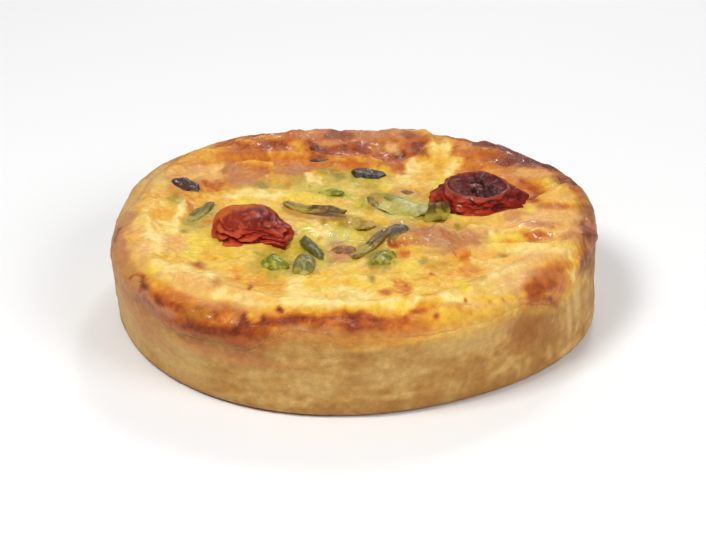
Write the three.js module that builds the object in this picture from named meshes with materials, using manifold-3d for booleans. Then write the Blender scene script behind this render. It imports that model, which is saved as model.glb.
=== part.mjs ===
// An individual quiche: a straight-sided shortcrust case, an egg and cheese custard that has risen over the
// rim and run down the outside at the front left, two roasted cherry tomato halves and chopped vegetables.
// Millimetres. Z is up, the base stands on z = 0, the origin is in its middle, and -Y is the front.
import * as THREE from "three";
import { mergeVertices } from "three/addons/utils/BufferGeometryUtils.js";
import Module from "manifold-3d";

const wasm = await Module();
wasm.setup();

// Pastry case
const RIM_RADIUS = 61.1;
const BASE_RADIUS = 59.6;
const RIM_HEIGHT = 23.3;
const RIM_TILT = 1.2; // the back of the rim is this much higher than its middle
const WALL = 3.8;
const FLOOR = 4.2;
const FOOT_ROUND = 3.2;

// The hand-pressed case isn't a true circle. Each wave is [lobes, height in mm, a lobe's angle in degrees].
const RIM_WAVES = [[1, 0.6, 180], [2, 0.8, 60], [3, 1.1, 19], [4, 1.0, 31], [5, 0.8, -7]];
const BASE_WAVES = [[2, 0.7, -6], [3, 0.7, 0], [4, 0.8, -17]];
const RIM_RISE_WAVES = [[3, 0.35, 250], [7, 0.2, 12]];

// Custard
const GAP = 0.3; // clearance between neighbouring solids
const CENTRE_LEVEL = 24.2;
const LIP_RISE = 1.45; // the filling swells into a lip just inside the rim
const LIP_AT = 0.87; // share of the radius where the lip is highest
const LIP_WIDTH = 0.1;
const TOP_TILT = 0.5; // the back of the top is this much higher than its middle
const FILM = 1.15; // how proud of the case the custard that ran over it stands
const TIP = 0.25; // thickness at its very edge
const EDGE_ROUND = 3.2;
const RIM_SHOWN = 1.3; // width of the rim's crest that the custard leaves bare

// Where the custard ran over: [middle and half width in degrees, reach in mm past the rim's crest].
const RUNS = [[236, 27, 7.4], [290, 60, 1.7], [333, 30, 5.6], [20, 40, 2.2], [60, 40, 2.6], [104, 36, 2.2]];
const RUN_FLAT = 0.3; // share of the half width over which a run keeps its full reach

// Swellings and hollows of the baked top: [x, y, half length, half width, turn in degrees, rise].
const LUMPS = [
  [4, 50, 19, 8, 0, 1.3], // glossy blister at the back
  [-28, 44, 9, 7, 20, 0.9], // browned blisters at the back left
  [-27, 27, 7, 5, 70, 0.8],
  [-36, 33, 4, 4, 0, -0.7],
  [41, 40, 12, 6, -45, 1.0], // browned shoulder at the back right
  [18, 33, 4, 7, -20, -0.6],
  [18, -13, 9, 6, -15, 1.5], // mound beside the front strip
  [31, -12, 7, 4, 10, 0.8],
  [46, -9, 8, 3.5, 25, 0.9], // folds in front of the right tomato
  [41, 1.5, 13, 2.6, 28, 1.2],
  [44, 14, 5, 4, 0, -0.9],
  [42, -19, 12, 3, 12, 0.8], // folds behind the front right lip
  [25, -20, 7, 2.5, -10, 0.6],
  [-44, 5, 4, 12, 0, 0.6],
  [-36, -33, 12, 3, -30, 0.7], // fold behind the front left lip
  [-3, -10, 10, 8, 0, -0.9], // hollow that the vegetables lie in
  [10, 8, 12, 7, -20, -0.7],
  [-10, 14, 12, 5, 10, 0.5],
];

const STEPS = 80; // columns round the case and the custard

const RAD = Math.PI / 180;
const sum = (list) => list.reduce((a, b) => a + b, 0);
const clamp = (x, low, high) => Math.min(high, Math.max(low, x));
const mix = (a, b, t) => a + (b - a) * t;
const smooth = (low, high, x) => {
  const t = clamp((x - low) / (high - low), 0, 1);
  return t * t * (3 - 2 * t);
};
const waves = (list, angle) =>
  sum(list.map(([lobes, size, towards]) => size * Math.cos(lobes * (angle - towards * RAD))));
const turnFrom = (angle, towards) => {
  const apart = angle - towards;
  return Math.abs(Math.atan2(Math.sin(apart), Math.cos(apart)));
};

// Outline of the case

function rimHeight(angle) {
  return RIM_HEIGHT + RIM_TILT * Math.sin(angle) + waves(RIM_RISE_WAVES, angle);
}

function outerRadius(angle, z) {
  const base = BASE_RADIUS + waves(BASE_WAVES, angle);
  const rim = RIM_RADIUS + waves(RIM_WAVES, angle);
  return mix(base, rim, clamp(z / RIM_HEIGHT, 0, 1));
}

// A point on the case, d mm outwards over the rim from its crest, and off mm clear of it, as [radius, z].
function onCase(angle, d, off) {
  const round = WALL / 2;
  const quarter = (Math.PI / 2) * round;
  const top = rimHeight(angle);
  const crest = outerRadius(angle, top - round) - round;
  if (Math.abs(d) <= quarter) {
    const tip = d / round;
    return [crest + (round + off) * Math.sin(tip), top - round + (round + off) * Math.cos(tip)];
  }
  const z = top - round - (Math.abs(d) - quarter);
  const outer = outerRadius(angle, z);
  return d > 0 ? [outer + off, z] : [outer - WALL - off, z];
}

// Level of the custard's top

function lump([x0, y0, long, wide, turn, rise], x, y) {
  const c = Math.cos(turn * RAD);
  const s = Math.sin(turn * RAD);
  const along = (c * (x - x0) + s * (y - y0)) / long;
  const across = (c * (y - y0) - s * (x - x0)) / wide;
  return rise * Math.exp(-along * along - across * across);
}

function topLevel(x, y) {
  const share = Math.hypot(x, y) / (RIM_RADIUS - WALL / 2);
  const lip = LIP_RISE * Math.exp(-(((share - LIP_AT) / LIP_WIDTH) ** 2));
  const tilt = (TOP_TILT * y) / RIM_RADIUS;
  return CENTRE_LEVEL + lip + tilt + sum(LUMPS.map((l) => lump(l, x, y)));
}

// How far past the rim's crest the custard reaches: below 0 it stops short of the crest.
function reach(angle) {
  const runs = RUNS.map(([middle, half, far]) => {
    const away = turnFrom(angle, middle * RAD) / (half * RAD);
    return (far + RIM_SHOWN) * (1 - smooth(RUN_FLAT, 1, away));
  });
  return Math.max(...runs) - RIM_SHOWN;
}

// The custard's skin d mm past the crest, as [radius, z].
function onSkin(angle, d) {
  const far = reach(angle);
  const crest = onCase(angle, 0, 0);
  const r = crest[0] + Math.min(d, 0);
  const proud = topLevel(r * Math.cos(angle), r * Math.sin(angle)) - crest[1];
  const film = mix(proud, FILM, smooth(-2, 3, d));
  const left = clamp((far - d) / EDGE_ROUND, 0, 1);
  const thick = mix(GAP + TIP, film, Math.sqrt(left * (2 - left)));
  return d < 0 ? [r, crest[1] + thick] : onCase(angle, d, thick);
}

// A closed surface of revolution whose rows are functions of the angle that give [radius, z].
function turned(rows, steps) {
  const profile = rows.map(() => new THREE.Vector2(1, 0));
  const g = new THREE.LatheGeometry(profile, steps);
  const position = g.getAttribute("position");
  for (let i = 0; i < position.count; i++) {
    const angle = (Math.floor(i / rows.length) % steps) * ((2 * Math.PI) / steps);
    const [r, z] = rows[i % rows.length](angle);
    position.setXYZ(i, r * Math.cos(angle), r * Math.sin(angle), z);
  }
  return g;
}

// The pastry case, from the middle of its underside out, up, over the rim and back to the middle of its
// floor. grow enlarges it for the space that it takes out of the custard.
function caseRows(grow = 0) {
  const rows = [() => [0, -grow]];
  for (const tip of [-90, -60, -30, 0]) {
    rows.push((a) => [
      outerRadius(a, FOOT_ROUND) - FOOT_ROUND + (FOOT_ROUND + grow) * Math.cos(tip * RAD),
      FOOT_ROUND + (FOOT_ROUND + grow) * Math.sin(tip * RAD),
    ]);
  }
  const quarter = (Math.PI / 4) * WALL;
  for (const share of [0.33, 0.67]) {
    rows.push((a) => {
      const z = mix(FOOT_ROUND, rimHeight(a) - WALL / 2, share);
      return [outerRadius(a, z) + grow, z];
    });
  }
  for (const share of [1, 0.5, 0, -0.5, -1]) rows.push((a) => onCase(a, share * quarter, grow));
  for (const share of [0.5, 1]) {
    rows.push((a) => {
      const z = mix(rimHeight(a) - WALL / 2, FLOOR + grow, share);
      return [outerRadius(a, z) - WALL - grow, z];
    });
  }
  rows.push(() => [0, FLOOR + grow]);
  return rows;
}

// The custard before the case is cut out of it. Its underside runs inside the pastry, out to the tip of
// each run, and its top comes back over the rim to the middle.
function custardRows() {
  const middle = (z) => (a) => [outerRadius(a, z) - WALL / 2, z];
  const rows = [() => [0, FLOOR / 2], middle(FLOOR / 2)];
  rows.push((a) => middle(rimHeight(a) - WALL / 2)(a));
  rows.push((a) => onCase(a, reach(a), -WALL / 6));
  for (const share of [0, 0.03, 0.12, 0.26, 0.4, 0.52, 0.64, 0.78, 1]) {
    rows.push((a) => onSkin(a, mix(reach(a), -EDGE_ROUND * 1.5, share)));
  }
  for (const share of [0.93, 0.86, 0.79, 0.71, 0.62, 0.53, 0.43, 0.32, 0.18, 0]) {
    rows.push((a) => {
      const r = share * (outerRadius(a, RIM_HEIGHT) - WALL / 2 - EDGE_ROUND * 1.5);
      return [r, topLevel(r * Math.cos(a), r * Math.sin(a))];
    });
  }
  return rows;
}

// Toppings. Each maker takes grow, which enlarges the shape for its pocket in the custard.

// A boxy pebble: a sphere pushed towards a box, with a shallow wobble.
function chunk(long, wide, tall, grow = 0, bend = 0, squareness = 2.8) {
  const g = new THREE.SphereGeometry(1, 11, 6);
  const p = g.getAttribute("position");
  for (let i = 0; i < p.count; i++) {
    const n = [p.getX(i), p.getY(i), p.getZ(i)];
    const size = sum(n.map((c) => Math.abs(c) ** squareness)) ** (1 / squareness);
    const [x, y, z] = n.map((c) => c / size);
    const wobble = 1 + 0.06 * Math.sin(5 * x + 3 * y + long) * Math.cos(4 * y - 2 * z + wide);
    const along = x * (long / 2 + grow);
    p.setXYZ(i, along, y * (wide / 2 + grow) * wobble + bend * x * x, z * (tall / 2 + grow) * wobble);
  }
  return g;
}

// A limp strip of leaf or skin: a thin box, bent sideways and rippled up and down.
function strip(long, wide, tall, grow = 0, bend = 0, ripple = 0.5) {
  const g = new THREE.BoxGeometry(long + 2 * grow, wide + 2 * grow, tall + 2 * grow, 7, 2, 1);
  const p = g.getAttribute("position");
  for (let i = 0; i < p.count; i++) {
    const [x, y, z] = [p.getX(i), p.getY(i), p.getZ(i)];
    const share = (2 * x) / long;
    const narrow = 1 - 0.3 * share ** 4;
    p.setXYZ(i, x, y * narrow + bend * share ** 2, z + ripple * Math.sin(2.6 * share + 0.5 * y));
  }
  return g;
}

// A round stick with soft ends.
function stick(long, wide, tall, grow = 0) {
  const round = new THREE.CapsuleGeometry(wide / 2 + grow, long - wide, 3, 10);
  return round.rotateZ(Math.PI / 2).scale(1, 1, tall / wide);
}

// The left tomato half: a dome, skin side up, whose front has shrunk into folds.
const DOME_WAIST = 0.32; // share of its height where it is widest
function domedTomato(long, wide, tall, grow = 0) {
  const g = new THREE.SphereGeometry(1, 26, 12).rotateX(Math.PI / 2);
  const p = g.getAttribute("position");
  for (let i = 0; i < p.count; i++) {
    const [x, y, z] = [p.getX(i), p.getY(i), p.getZ(i)];
    const angle = Math.atan2(y, x);
    const front = smooth(0.2, -0.7, y) * smooth(0.75, 0.35, Math.abs(z));
    const folds = 1 + front * (0.05 * Math.sin(9 * angle + 5 * z) - 0.04) + 0.02 * Math.sin(3 * angle + 1);
    const tail = 0.16 * Math.exp(-((angle + 0.75) ** 2) / 0.06) * smooth(0.6, 0, z);
    const round = z > 0 ? tall * (1 - DOME_WAIST) : tall * DOME_WAIST;
    const spread = folds + tail;
    const level = z * (round + grow) + tall * (DOME_WAIST - 0.5);
    p.setXYZ(i, x * ((spread * long) / 2 + grow), y * ((spread * wide) / 2 + grow), level);
  }
  return g;
}

// The right tomato half: a shrunken cup of wrinkled skin round a sunken, charred face.
const SHOULDERS = [2.75, 0.1]; // where it bulges, in radians
function cuppedTomato(long, wide, tall, grow = 0) {
  const belly = [[0, -0.5], [0.6, -0.5], [0.9, -0.36], [1, -0.16], [0.95, 0.06], [0.84, 0.26], [0.76, 0.42]];
  const outline = [...belly, [0.69, 0.5], [0.6, 0.44], [0.42, 0.37], [0.2, 0.42], [0, 0.4]];
  const g = turned(outline.map(([r, z]) => (angle) => {
    const side = smooth(0.45, 0.8, r) * smooth(0.5, 0.14, z);
    const folds = 1 + side * 0.05 * Math.sin(8 * angle + 6 * z) + 0.03 * Math.cos(3 * angle + 0.6);
    const shoulders = sum(SHOULDERS.map((towards) => Math.exp(-((turnFrom(angle, towards) / 0.38) ** 2))));
    return [r * (folds + 0.12 * side * shoulders), z];
  }), 26);
  const p = g.getAttribute("position");
  for (let i = 0; i < p.count; i++) {
    const [x, y, z] = [p.getX(i), p.getY(i), p.getZ(i)];
    p.setXYZ(i, x * (long / 2 + grow), y * (wide / 2 + grow), z * tall + (z > 0 ? grow : -grow));
  }
  return g;
}

// A flat ring, cut from a spring onion.
function ring(long, wide, tall, grow = 0) {
  const thick = tall / 2 + grow;
  return new THREE.TorusGeometry(long / 2 - tall / 2, thick, 5, 10).scale(1, wide / long, 1);
}

const RED = 0x9c2412;
const CHAR = 0x4a3230;
const OLIVE = 0x6b5a22;
const GREEN = 0x6f7a2c;
const SAGE = 0xb4b778;
const GREY_GREEN = 0x7a7a5a;
const BROWN = 0x9a7048;

// [name, maker, x, y, [long, wide, tall], turn in degrees, share that is sunk, colour, maker's extras].
const TOPPINGS = [
  ["tomato_left", domedTomato, -26, -7.6, [18.6, 18.4, 8.6], 4, 0.4, RED],
  ["tomato_right", cuppedTomato, 31.6, 8.6, [23, 18.6, 8.8], 3, 0.34, RED],
  ["charred_piece_left", chunk, -43.8, 18.6, [9.4, 5.4, 3.4], -48, 0.4, CHAR],
  ["charred_piece_back", chunk, 4.2, 28.2, [9.2, 5.6, 3.2], -38, 0.3, CHAR],
  ["charred_sliver_back", chunk, -8.5, 38.2, [9, 2.8, 2.2], 8, 0.5, CHAR],
  ["leaf_strip_left", strip, -38.4, 3.2, [11, 2.9, 1.4], 64, 0.2, GREY_GREEN, [0.5]],
  ["leaf_strip_middle", strip, -10.4, 4.9, [15, 3.6, 1.4], -27, 0.1, BROWN, [0.7]],
  ["leaf_sliver_back", strip, -5.4, 15.4, [6.4, 2.8, 1.3], -24, 0.1, GREEN, [0.3]],
  ["leek_slice_middle", strip, 1.6, -2.9, [8, 4.6, 1.5], -50, 0.3, OLIVE, [0.4]],
  ["bean_stick_front", stick, -9.9, -18.7, [12, 3.6, 3.2], -66, 0.2, OLIVE],
  ["bean_block_front", chunk, -11.1, -29.6, [7.2, 4.6, 4.2], 79, 0.1, GREY_GREEN, [0, 4]],
  ["pepper_piece_front", chunk, -18.8, -27.6, [8.4, 5.2, 3.6], 112, 0.3, GREEN],
  ["bean_strip_front", strip, 4.4, -17, [15.5, 2.7, 2], 58, 0.1, OLIVE, [0.6]],
  ["bean_tip_front", chunk, 11.2, -10.2, [5.2, 4.4, 3.2], 30, 0.2, GREY_GREEN],
  ["pepper_piece_right", chunk, 7.4, -24.6, [7.6, 4.8, 3.4], 72, 0.3, GREEN],
  ["mushroom_piece_front", chunk, -2.2, -20, [5.6, 4.4, 2.6], 10, 0.2, BROWN],
  ["leek_chunk_middle", chunk, 5.3, 10.2, [7.4, 3, 2.6], 104, 0.3, OLIVE],
  ["leek_wedge_middle", chunk, 10.6, 12.6, [8, 3.2, 2.4], -36, 0.3, GREEN],
  ["leek_leaf_middle", strip, 13.4, 6.2, [13.5, 7, 1.5], -14, 0, SAGE, [0.8, 0.5]],
  ["leek_end_right", chunk, 20.9, -1.4, [6.6, 4.6, 3.6], 62, 0.3, OLIVE],
  ["mushroom_sliver_back", chunk, 14, 16.6, [4.6, 2.8, 1.8], -40, 0.3, BROWN],
];

// Flecks small enough to be part of the custard: [x, y, length, width, turn in degrees].
const FLECKS = [
  [35.3, -22.6, 3.2, 2, 20],
  [4.6, -35.2, 2.8, 1.6, 60],
  [-23.6, -40.6, 2.4, 1.2, 85],
  [25.8, -5.6, 2.4, 1.4, 70],
  [18.6, -33.4, 2, 1.4, 0],
  [-13.4, -4.2, 2, 1.6, 0],
  [-3.4, 27.4, 4, 2.4, 70],
  [-22.6, 20, 4, 2, 60],
  [6.8, -43.6, 2.6, 1.6, 50],
];
const ONION_RING = [-4.6, -25.4, [3.6, 3.2, 1.3]];

// Solids

function solidOf(geometry) {
  const g = geometry.clone();
  g.deleteAttribute("normal");
  g.deleteAttribute("uv");
  const merged = mergeVertices(g, 1e-4);
  const index = Array.from(merged.index.array);
  const kept = [];
  for (let i = 0; i < index.length; i += 3) {
    const [a, b, c] = index.slice(i, i + 3);
    if (a !== b && b !== c && c !== a) kept.push(a, b, c);
  }
  const vertProperties = merged.attributes.position.array;
  const made = (list) => {
    const triVerts = new Uint32Array(list);
    return new wasm.Manifold(new wasm.Mesh({ numProp: 3, vertProperties, triVerts }));
  };
  const solid = made(kept);
  return solid.volume() < 0 ? made(kept.reverse()) : solid;
}

const largest = (solid) => solid.decompose().reduce((a, b) => (b.volume() > a.volume() ? b : a));

function geometryOf(solid) {
  const m = solid.getMesh();
  return new THREE.BufferGeometry()
    .setAttribute("position", new THREE.BufferAttribute(m.vertProperties, 3))
    .setIndex(new THREE.BufferAttribute(m.triVerts, 1));
}

function seated(geometry, x, y, turn, z) {
  return geometry.rotateZ(turn * RAD).translate(x, y, z);
}

function toppingSolid([, maker, x, y, size, turn, sunk, , extra = []], grow) {
  const z = topLevel(x, y) + size[2] / 2 - size[2] * sunk;
  return solidOf(seated(maker(...size, grow, ...extra), x, y, turn, z));
}

const nodes = [];
const pockets = [];
for (const topping of TOPPINGS) {
  const solid = pockets.reduce((piece, pocket) => piece.subtract(pocket), toppingSolid(topping, 0));
  nodes.push([topping[0], largest(solid), topping[7]]);
  pockets.push(toppingSolid(topping, GAP));
}

let custard = solidOf(turned(custardRows(), STEPS)).subtract(solidOf(turned(caseRows(GAP), STEPS)));
for (const [x, y, long, wide, turn] of FLECKS) {
  const fleck = new THREE.IcosahedronGeometry(1, 0).scale(long / 2, wide / 2, 0.8);
  custard = custard.add(solidOf(seated(fleck, x, y, turn, topLevel(x, y))));
}
const [ringX, ringY, ringSize] = ONION_RING;
custard = custard.add(solidOf(seated(ring(...ringSize), ringX, ringY, 0, topLevel(ringX, ringY))));
for (const pocket of pockets) custard = custard.subtract(pocket);

nodes.push(["custard", largest(custard), 0xf0c65a]);
nodes.push(["pastry_case", solidOf(turned(caseRows(), STEPS)), 0xc99c5a]);

// The scene graph

const quiche = new THREE.Group();
for (const [name, solid, color] of nodes) {
  const material = new THREE.MeshStandardMaterial({ color, roughness: 0.55, metalness: 0 });
  const mesh = new THREE.Mesh(geometryOf(solid), material);
  mesh.name = name;
  quiche.add(mesh);
}

export default quiche;
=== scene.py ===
# %% [markdown]
# # An individual quiche, baked and set down on a pale table
#
# A shortcrust case is filled to its rim with an egg and cheese custard. In the oven the custard rose,
# browned in blisters at the back and ran over the rim at the front left. Two roasted cherry tomato halves
# and a scatter of chopped vegetables lie in it. This lesson builds each of those from a simple bmesh shape,
# whose vertices are then moved by short functions of place. It paints them with attributes that the
# materials read.

# %% Load the frame
import math

import bmesh
import bpy
import numpy as np
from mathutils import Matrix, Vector, noise


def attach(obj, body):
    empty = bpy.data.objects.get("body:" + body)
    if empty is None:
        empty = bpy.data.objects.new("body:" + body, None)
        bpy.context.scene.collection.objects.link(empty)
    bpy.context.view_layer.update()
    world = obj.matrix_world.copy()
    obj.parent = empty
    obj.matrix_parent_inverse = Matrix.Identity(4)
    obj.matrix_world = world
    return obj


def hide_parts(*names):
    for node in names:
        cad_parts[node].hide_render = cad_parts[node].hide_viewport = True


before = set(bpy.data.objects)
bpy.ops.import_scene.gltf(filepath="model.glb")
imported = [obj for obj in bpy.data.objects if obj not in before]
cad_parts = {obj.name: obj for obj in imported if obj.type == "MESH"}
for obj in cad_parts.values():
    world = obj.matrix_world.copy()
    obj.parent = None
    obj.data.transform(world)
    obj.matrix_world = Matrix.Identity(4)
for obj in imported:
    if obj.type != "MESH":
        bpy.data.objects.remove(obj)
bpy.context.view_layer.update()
print("solids in the frame:", len(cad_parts))

# %% [markdown]
# ## The sizes that everything follows
#
# The case is not a true circle: hands pressed the pastry into its tin, and it slumped a little. So its
# outline is a circle plus a few slow waves, each given as lobes, height and the angle of one lobe. Lengths
# are in millimetres until the very end, when a mesh is scaled to metres. Angles are in degrees where they
# are written down, and run anticlockwise from the right, so 270 is the front.

# %% Sizes of the case and the filling, in millimetres
MM = 0.001
RIM_RADIUS = 61.1
BASE_RADIUS = 59.6
RIM_HEIGHT = 23.3
# How much higher the rim is at the back than at the middle.
RIM_TILT = 1.2
WALL = 3.8
FLOOR = 4.2
FOOT_ROUND = 3.2
# Along the rounded top of the wall, from its crest to either side.
QUARTER = math.pi / 4 * WALL
RIM_WAVES = [(1, 0.6, 180), (2, 0.8, 60), (3, 1.1, 19), (4, 1.0, 31), (5, 0.8, -7)]
BASE_WAVES = [(2, 0.7, -6), (3, 0.7, 0), (4, 0.8, -17)]
RIM_RISE_WAVES = [(3, 0.35, 250), (7, 0.2, 12)]

CENTRE_LEVEL = 24.2
TOP_TILT = 0.5
# The raised lip inside the rim: its height, and its place and width as shares of the rim's radius.
LIP_RISE = 1.45
LIP_AT = 0.87
LIP_WIDTH = 0.1

# The custard's skin over the rim: its thickness where it poured and where it is thin, and the offset of its
# tip and of its underside from the pastry.
FILM = 0.75
THIN_FILM = 0.4
TIP = -0.18
SUNK = -0.4
# How far from its edge the skin reaches its full thickness, where it poured and where it is thin.
EDGE_ROUND = 4.4
THIN_EDGE_ROUND = 4.6
# Where the skin starts, inside the crest, and how much of the rim shows bare where it never reached.
EDGE_START = -4.8
RIM_SHOWN = 1.3
# Where it ran over the rim: middle and half width in degrees, and how far past the crest.
RUNS = [(236, 27, 7.4), (290, 60, 1.7), (333, 30, 5.6), (20, 40, 2.2), (60, 40, 2.6), (104, 36, 2.2)]
# Where it is flush with the outside of the rim, or ran a little over it, in the same terms.
FLUSH = [(196, 34, 1.6), (215, 21, 4.6), (140, 26, -0.6), (285, 34, 1.4), (350, 26, 3.4)]
# The share of a run's half width over which it keeps its full reach.
RUN_FLAT = 0.3

# Swellings and hollows of the baked top: x, y, half length, half width, turn in degrees, rise.
LUMPS = [
    (4, 50, 19, 8, 0, 1.3),
    (-28, 44, 9, 7, 20, 0.9),
    (-27, 27, 7, 5, 70, 0.8),
    (-36, 33, 4, 4, 0, -0.7),
    (41, 40, 12, 6, -45, 1.0),
    (18, 33, 4, 7, -20, -0.6),
    (18, -13, 9, 6, -15, 1.5),
    (31, -12, 7, 4, 10, 0.8),
    (46, -9, 8, 3.5, 25, 0.9),
    (41, 1.5, 13, 2.6, 28, 1.2),
    (44, 14, 5, 4, 0, -0.9),
    (42, -19, 12, 3, 12, 0.8),
    (25, -20, 7, 2.5, -10, 0.6),
    (-44, 5, 4, 12, 0, 0.6),
    (-36, -33, 12, 3, -30, 0.7),
    (-3, -10, 10, 8, 0, -0.9),
    (10, 8, 12, 7, -20, -0.7),
    (-10, 14, 12, 5, 10, 0.5),
]

# %% [markdown]
# ## Functions of place
#
# The same few functions shape the pastry and the custard, so the two fit each other everywhere. They take
# whole numpy arrays of angles or places, which is fast enough for a hundred thousand vertices.


# %% Small helpers
def smooth(low, high, x):
    """0 up to low, 1 from high on, and a smooth step between them."""
    t = np.clip((x - low) / (high - low), 0, 1)
    return t * t * (3 - 2 * t)


def hump(q):
    """1 at 0, and fading to nothing on both sides of it."""
    return np.exp(-(q**2))


def mix(a, b, t):
    return a + (b - a) * t


def tinted(colours, towards, share):
    """The colour at each vertex, mixed towards another by the share at that vertex."""
    return mix(colours, towards, share[:, None])


def angle_of(places):
    return np.arctan2(places[:, 1], places[:, 0])


def around(angle, radius, z):
    """Places at those angles, at a distance from the middle and a height."""
    return np.column_stack((radius * np.cos(angle), radius * np.sin(angle), z))


def waves(terms, angle):
    return sum(size * np.cos(lobes * (angle - math.radians(towards))) for lobes, size, towards in terms)


def turn_from(angle, towards):
    """How far angle is from towards, in degrees, the short way round."""
    apart = angle - math.radians(towards)
    return np.degrees(np.abs(np.arctan2(np.sin(apart), np.cos(apart))))


# %% The outline of the case
def rim_height(angle):
    return RIM_HEIGHT + RIM_TILT * np.sin(angle) + waves(RIM_RISE_WAVES, angle)


def outer_radius(angle, z):
    base = BASE_RADIUS + waves(BASE_WAVES, angle)
    rim = RIM_RADIUS + waves(RIM_WAVES, angle)
    return mix(base, rim, np.clip(z / RIM_HEIGHT, 0, 1))


def on_case(angle, d, off):
    """(radius, z) on the case, d mm outwards over the rim from its crest and off mm clear of it."""
    half = WALL / 2
    top = rim_height(angle)
    crest = outer_radius(angle, top - half) - half
    tip = np.clip(d, -QUARTER, QUARTER) / half
    z_wall = top - half - (np.abs(d) - QUARTER)
    outer = outer_radius(angle, z_wall)
    on_rim = np.abs(d) <= QUARTER
    side = np.where(d > 0, outer + off, outer - WALL - off)
    radius = np.where(on_rim, crest + (half + off) * np.sin(tip), side)
    return radius, np.where(on_rim, top - half + (half + off) * np.cos(tip), z_wall)


# %% The level of the custard
def along_across(x, y, x0, y0, turn):
    c = math.cos(math.radians(turn))
    s = math.sin(math.radians(turn))
    return c * (x - x0) + s * (y - y0), c * (y - y0) - s * (x - x0)


def lump(x, y, x0, y0, long, wide, turn, rise):
    along, across = along_across(x, y, x0, y0, turn)
    return rise * hump(np.hypot(along / long, across / wide))


def top_level(x, y):
    share = np.hypot(x, y) / (RIM_RADIUS - WALL / 2)
    lip = LIP_RISE * hump((share - LIP_AT) / LIP_WIDTH)
    return CENTRE_LEVEL + lip + TOP_TILT * y / RIM_RADIUS + sum(lump(x, y, *spec) for spec in LUMPS)


def level_at(angle, radius):
    return top_level(radius * np.cos(angle), radius * np.sin(angle))


def reach(angle):
    """How far past the rim's crest the custard ran."""
    runs = [
        (far + RIM_SHOWN) * (1 - smooth(RUN_FLAT, 1, turn_from(angle, middle) / half))
        for middle, half, far in RUNS + FLUSH
    ]
    return np.max(runs, axis=0) - RIM_SHOWN


# %% [markdown]
# ## Noise that stays the same on every run
#
# Baked food is uneven at every size. `cloud` gives soft lumps of a chosen size in millimetres, and `cells`
# gives the round cells that bubbles and curds make. Both come from Blender's own noise functions, which
# hold no random state: a seed only moves the places to another part of the same noise.


# %% Noise helpers
SEED_STEP = np.array((17.3, -9.1, 5.7))


def cloud(places, size, seed, octaves=3):
    """Soft lumps, size mm across, from about -1 to 1."""
    at = (places / size + seed * SEED_STEP).tolist()
    return np.array([noise.fractal(p, 1.0, 2.0, octaves) for p in at])


def cells(places, size, seed):
    """0 in the middle of each round cell and 1 at its border."""
    at = (places / size + seed * SEED_STEP).tolist()
    near = np.array([noise.voronoi(p)[0][:2] for p in at])
    return near[:, 0] / np.maximum(near[:, 1], 1e-6)


# %% From a bmesh to a finished piece
def piece_from(bm, name, merge=0.0):
    """A mesh object at the origin from a bmesh in millimetres, with its faces outwards."""
    if merge:
        bmesh.ops.remove_doubles(bm, verts=bm.verts[:], dist=merge)
    bmesh.ops.recalc_face_normals(bm, faces=bm.faces[:])
    mesh = bpy.data.meshes.new(name)
    bm.to_mesh(mesh)
    bm.free()
    mesh.shade_smooth()
    piece = bpy.data.objects.new(name, mesh)
    bpy.context.scene.collection.objects.link(piece)
    return piece


def vectors_of(mesh, kind):
    found = np.empty(len(mesh.vertices) * 3, np.float32)
    mesh.vertices.foreach_get(kind, found)
    return found.reshape(-1, 3).astype(float)


def places_of(mesh):
    return vectors_of(mesh, "co")


def normals_of(mesh):
    return vectors_of(mesh, "normal")


def values_of(mesh, name):
    found = np.empty(len(mesh.vertices), np.float32)
    mesh.attributes[name].data.foreach_get("value", found)
    return found.astype(float)


def set_places(mesh, places):
    mesh.vertices.foreach_set("co", places.astype(np.float32).ravel())
    mesh.update()


def bm_places(bm):
    return np.array([v.co for v in bm.verts], float)


def set_bm_places(bm, places):
    for vert, place in zip(bm.verts, places):
        vert.co = place


def paint(mesh, name, values):
    """Stores a value or a colour at each vertex, for the materials to read."""
    values = np.asarray(values, np.float32)
    if values.ndim == 1:
        mesh.attributes.new(name, "FLOAT", "POINT").data.foreach_set("value", values)
        return
    colours = np.ones((len(values), 4), np.float32)
    colours[:, :3] = values
    mesh.attributes.new(name, "FLOAT_COLOR", "POINT").data.foreach_set("color", colours.ravel())


# %% [markdown]
# ## The colours of the food
#
# Baking takes egg and cheese along one road of colour: cream, yellow, gold, orange, brown and black. So
# most of the top is painted with a single value, its heat, and a ramp turns heat into colour. That way a
# brown patch always fades to yellow through orange, as it does in an oven. Hues that don't lie on that
# road, such as green juice or a pinkish skin of cheese, are named in a second list. All are written as they
# look on screen and turned into linear light.


# %% Heat ramp and hues
def linear(screen):
    """A colour as a screen shows it, in steps of 255, as the linear light that a shader takes."""
    c = np.array(screen, float) / 255
    return np.where(c <= 0.04045, c / 12.92, ((c + 0.055) / 1.055) ** 2.4)


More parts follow.
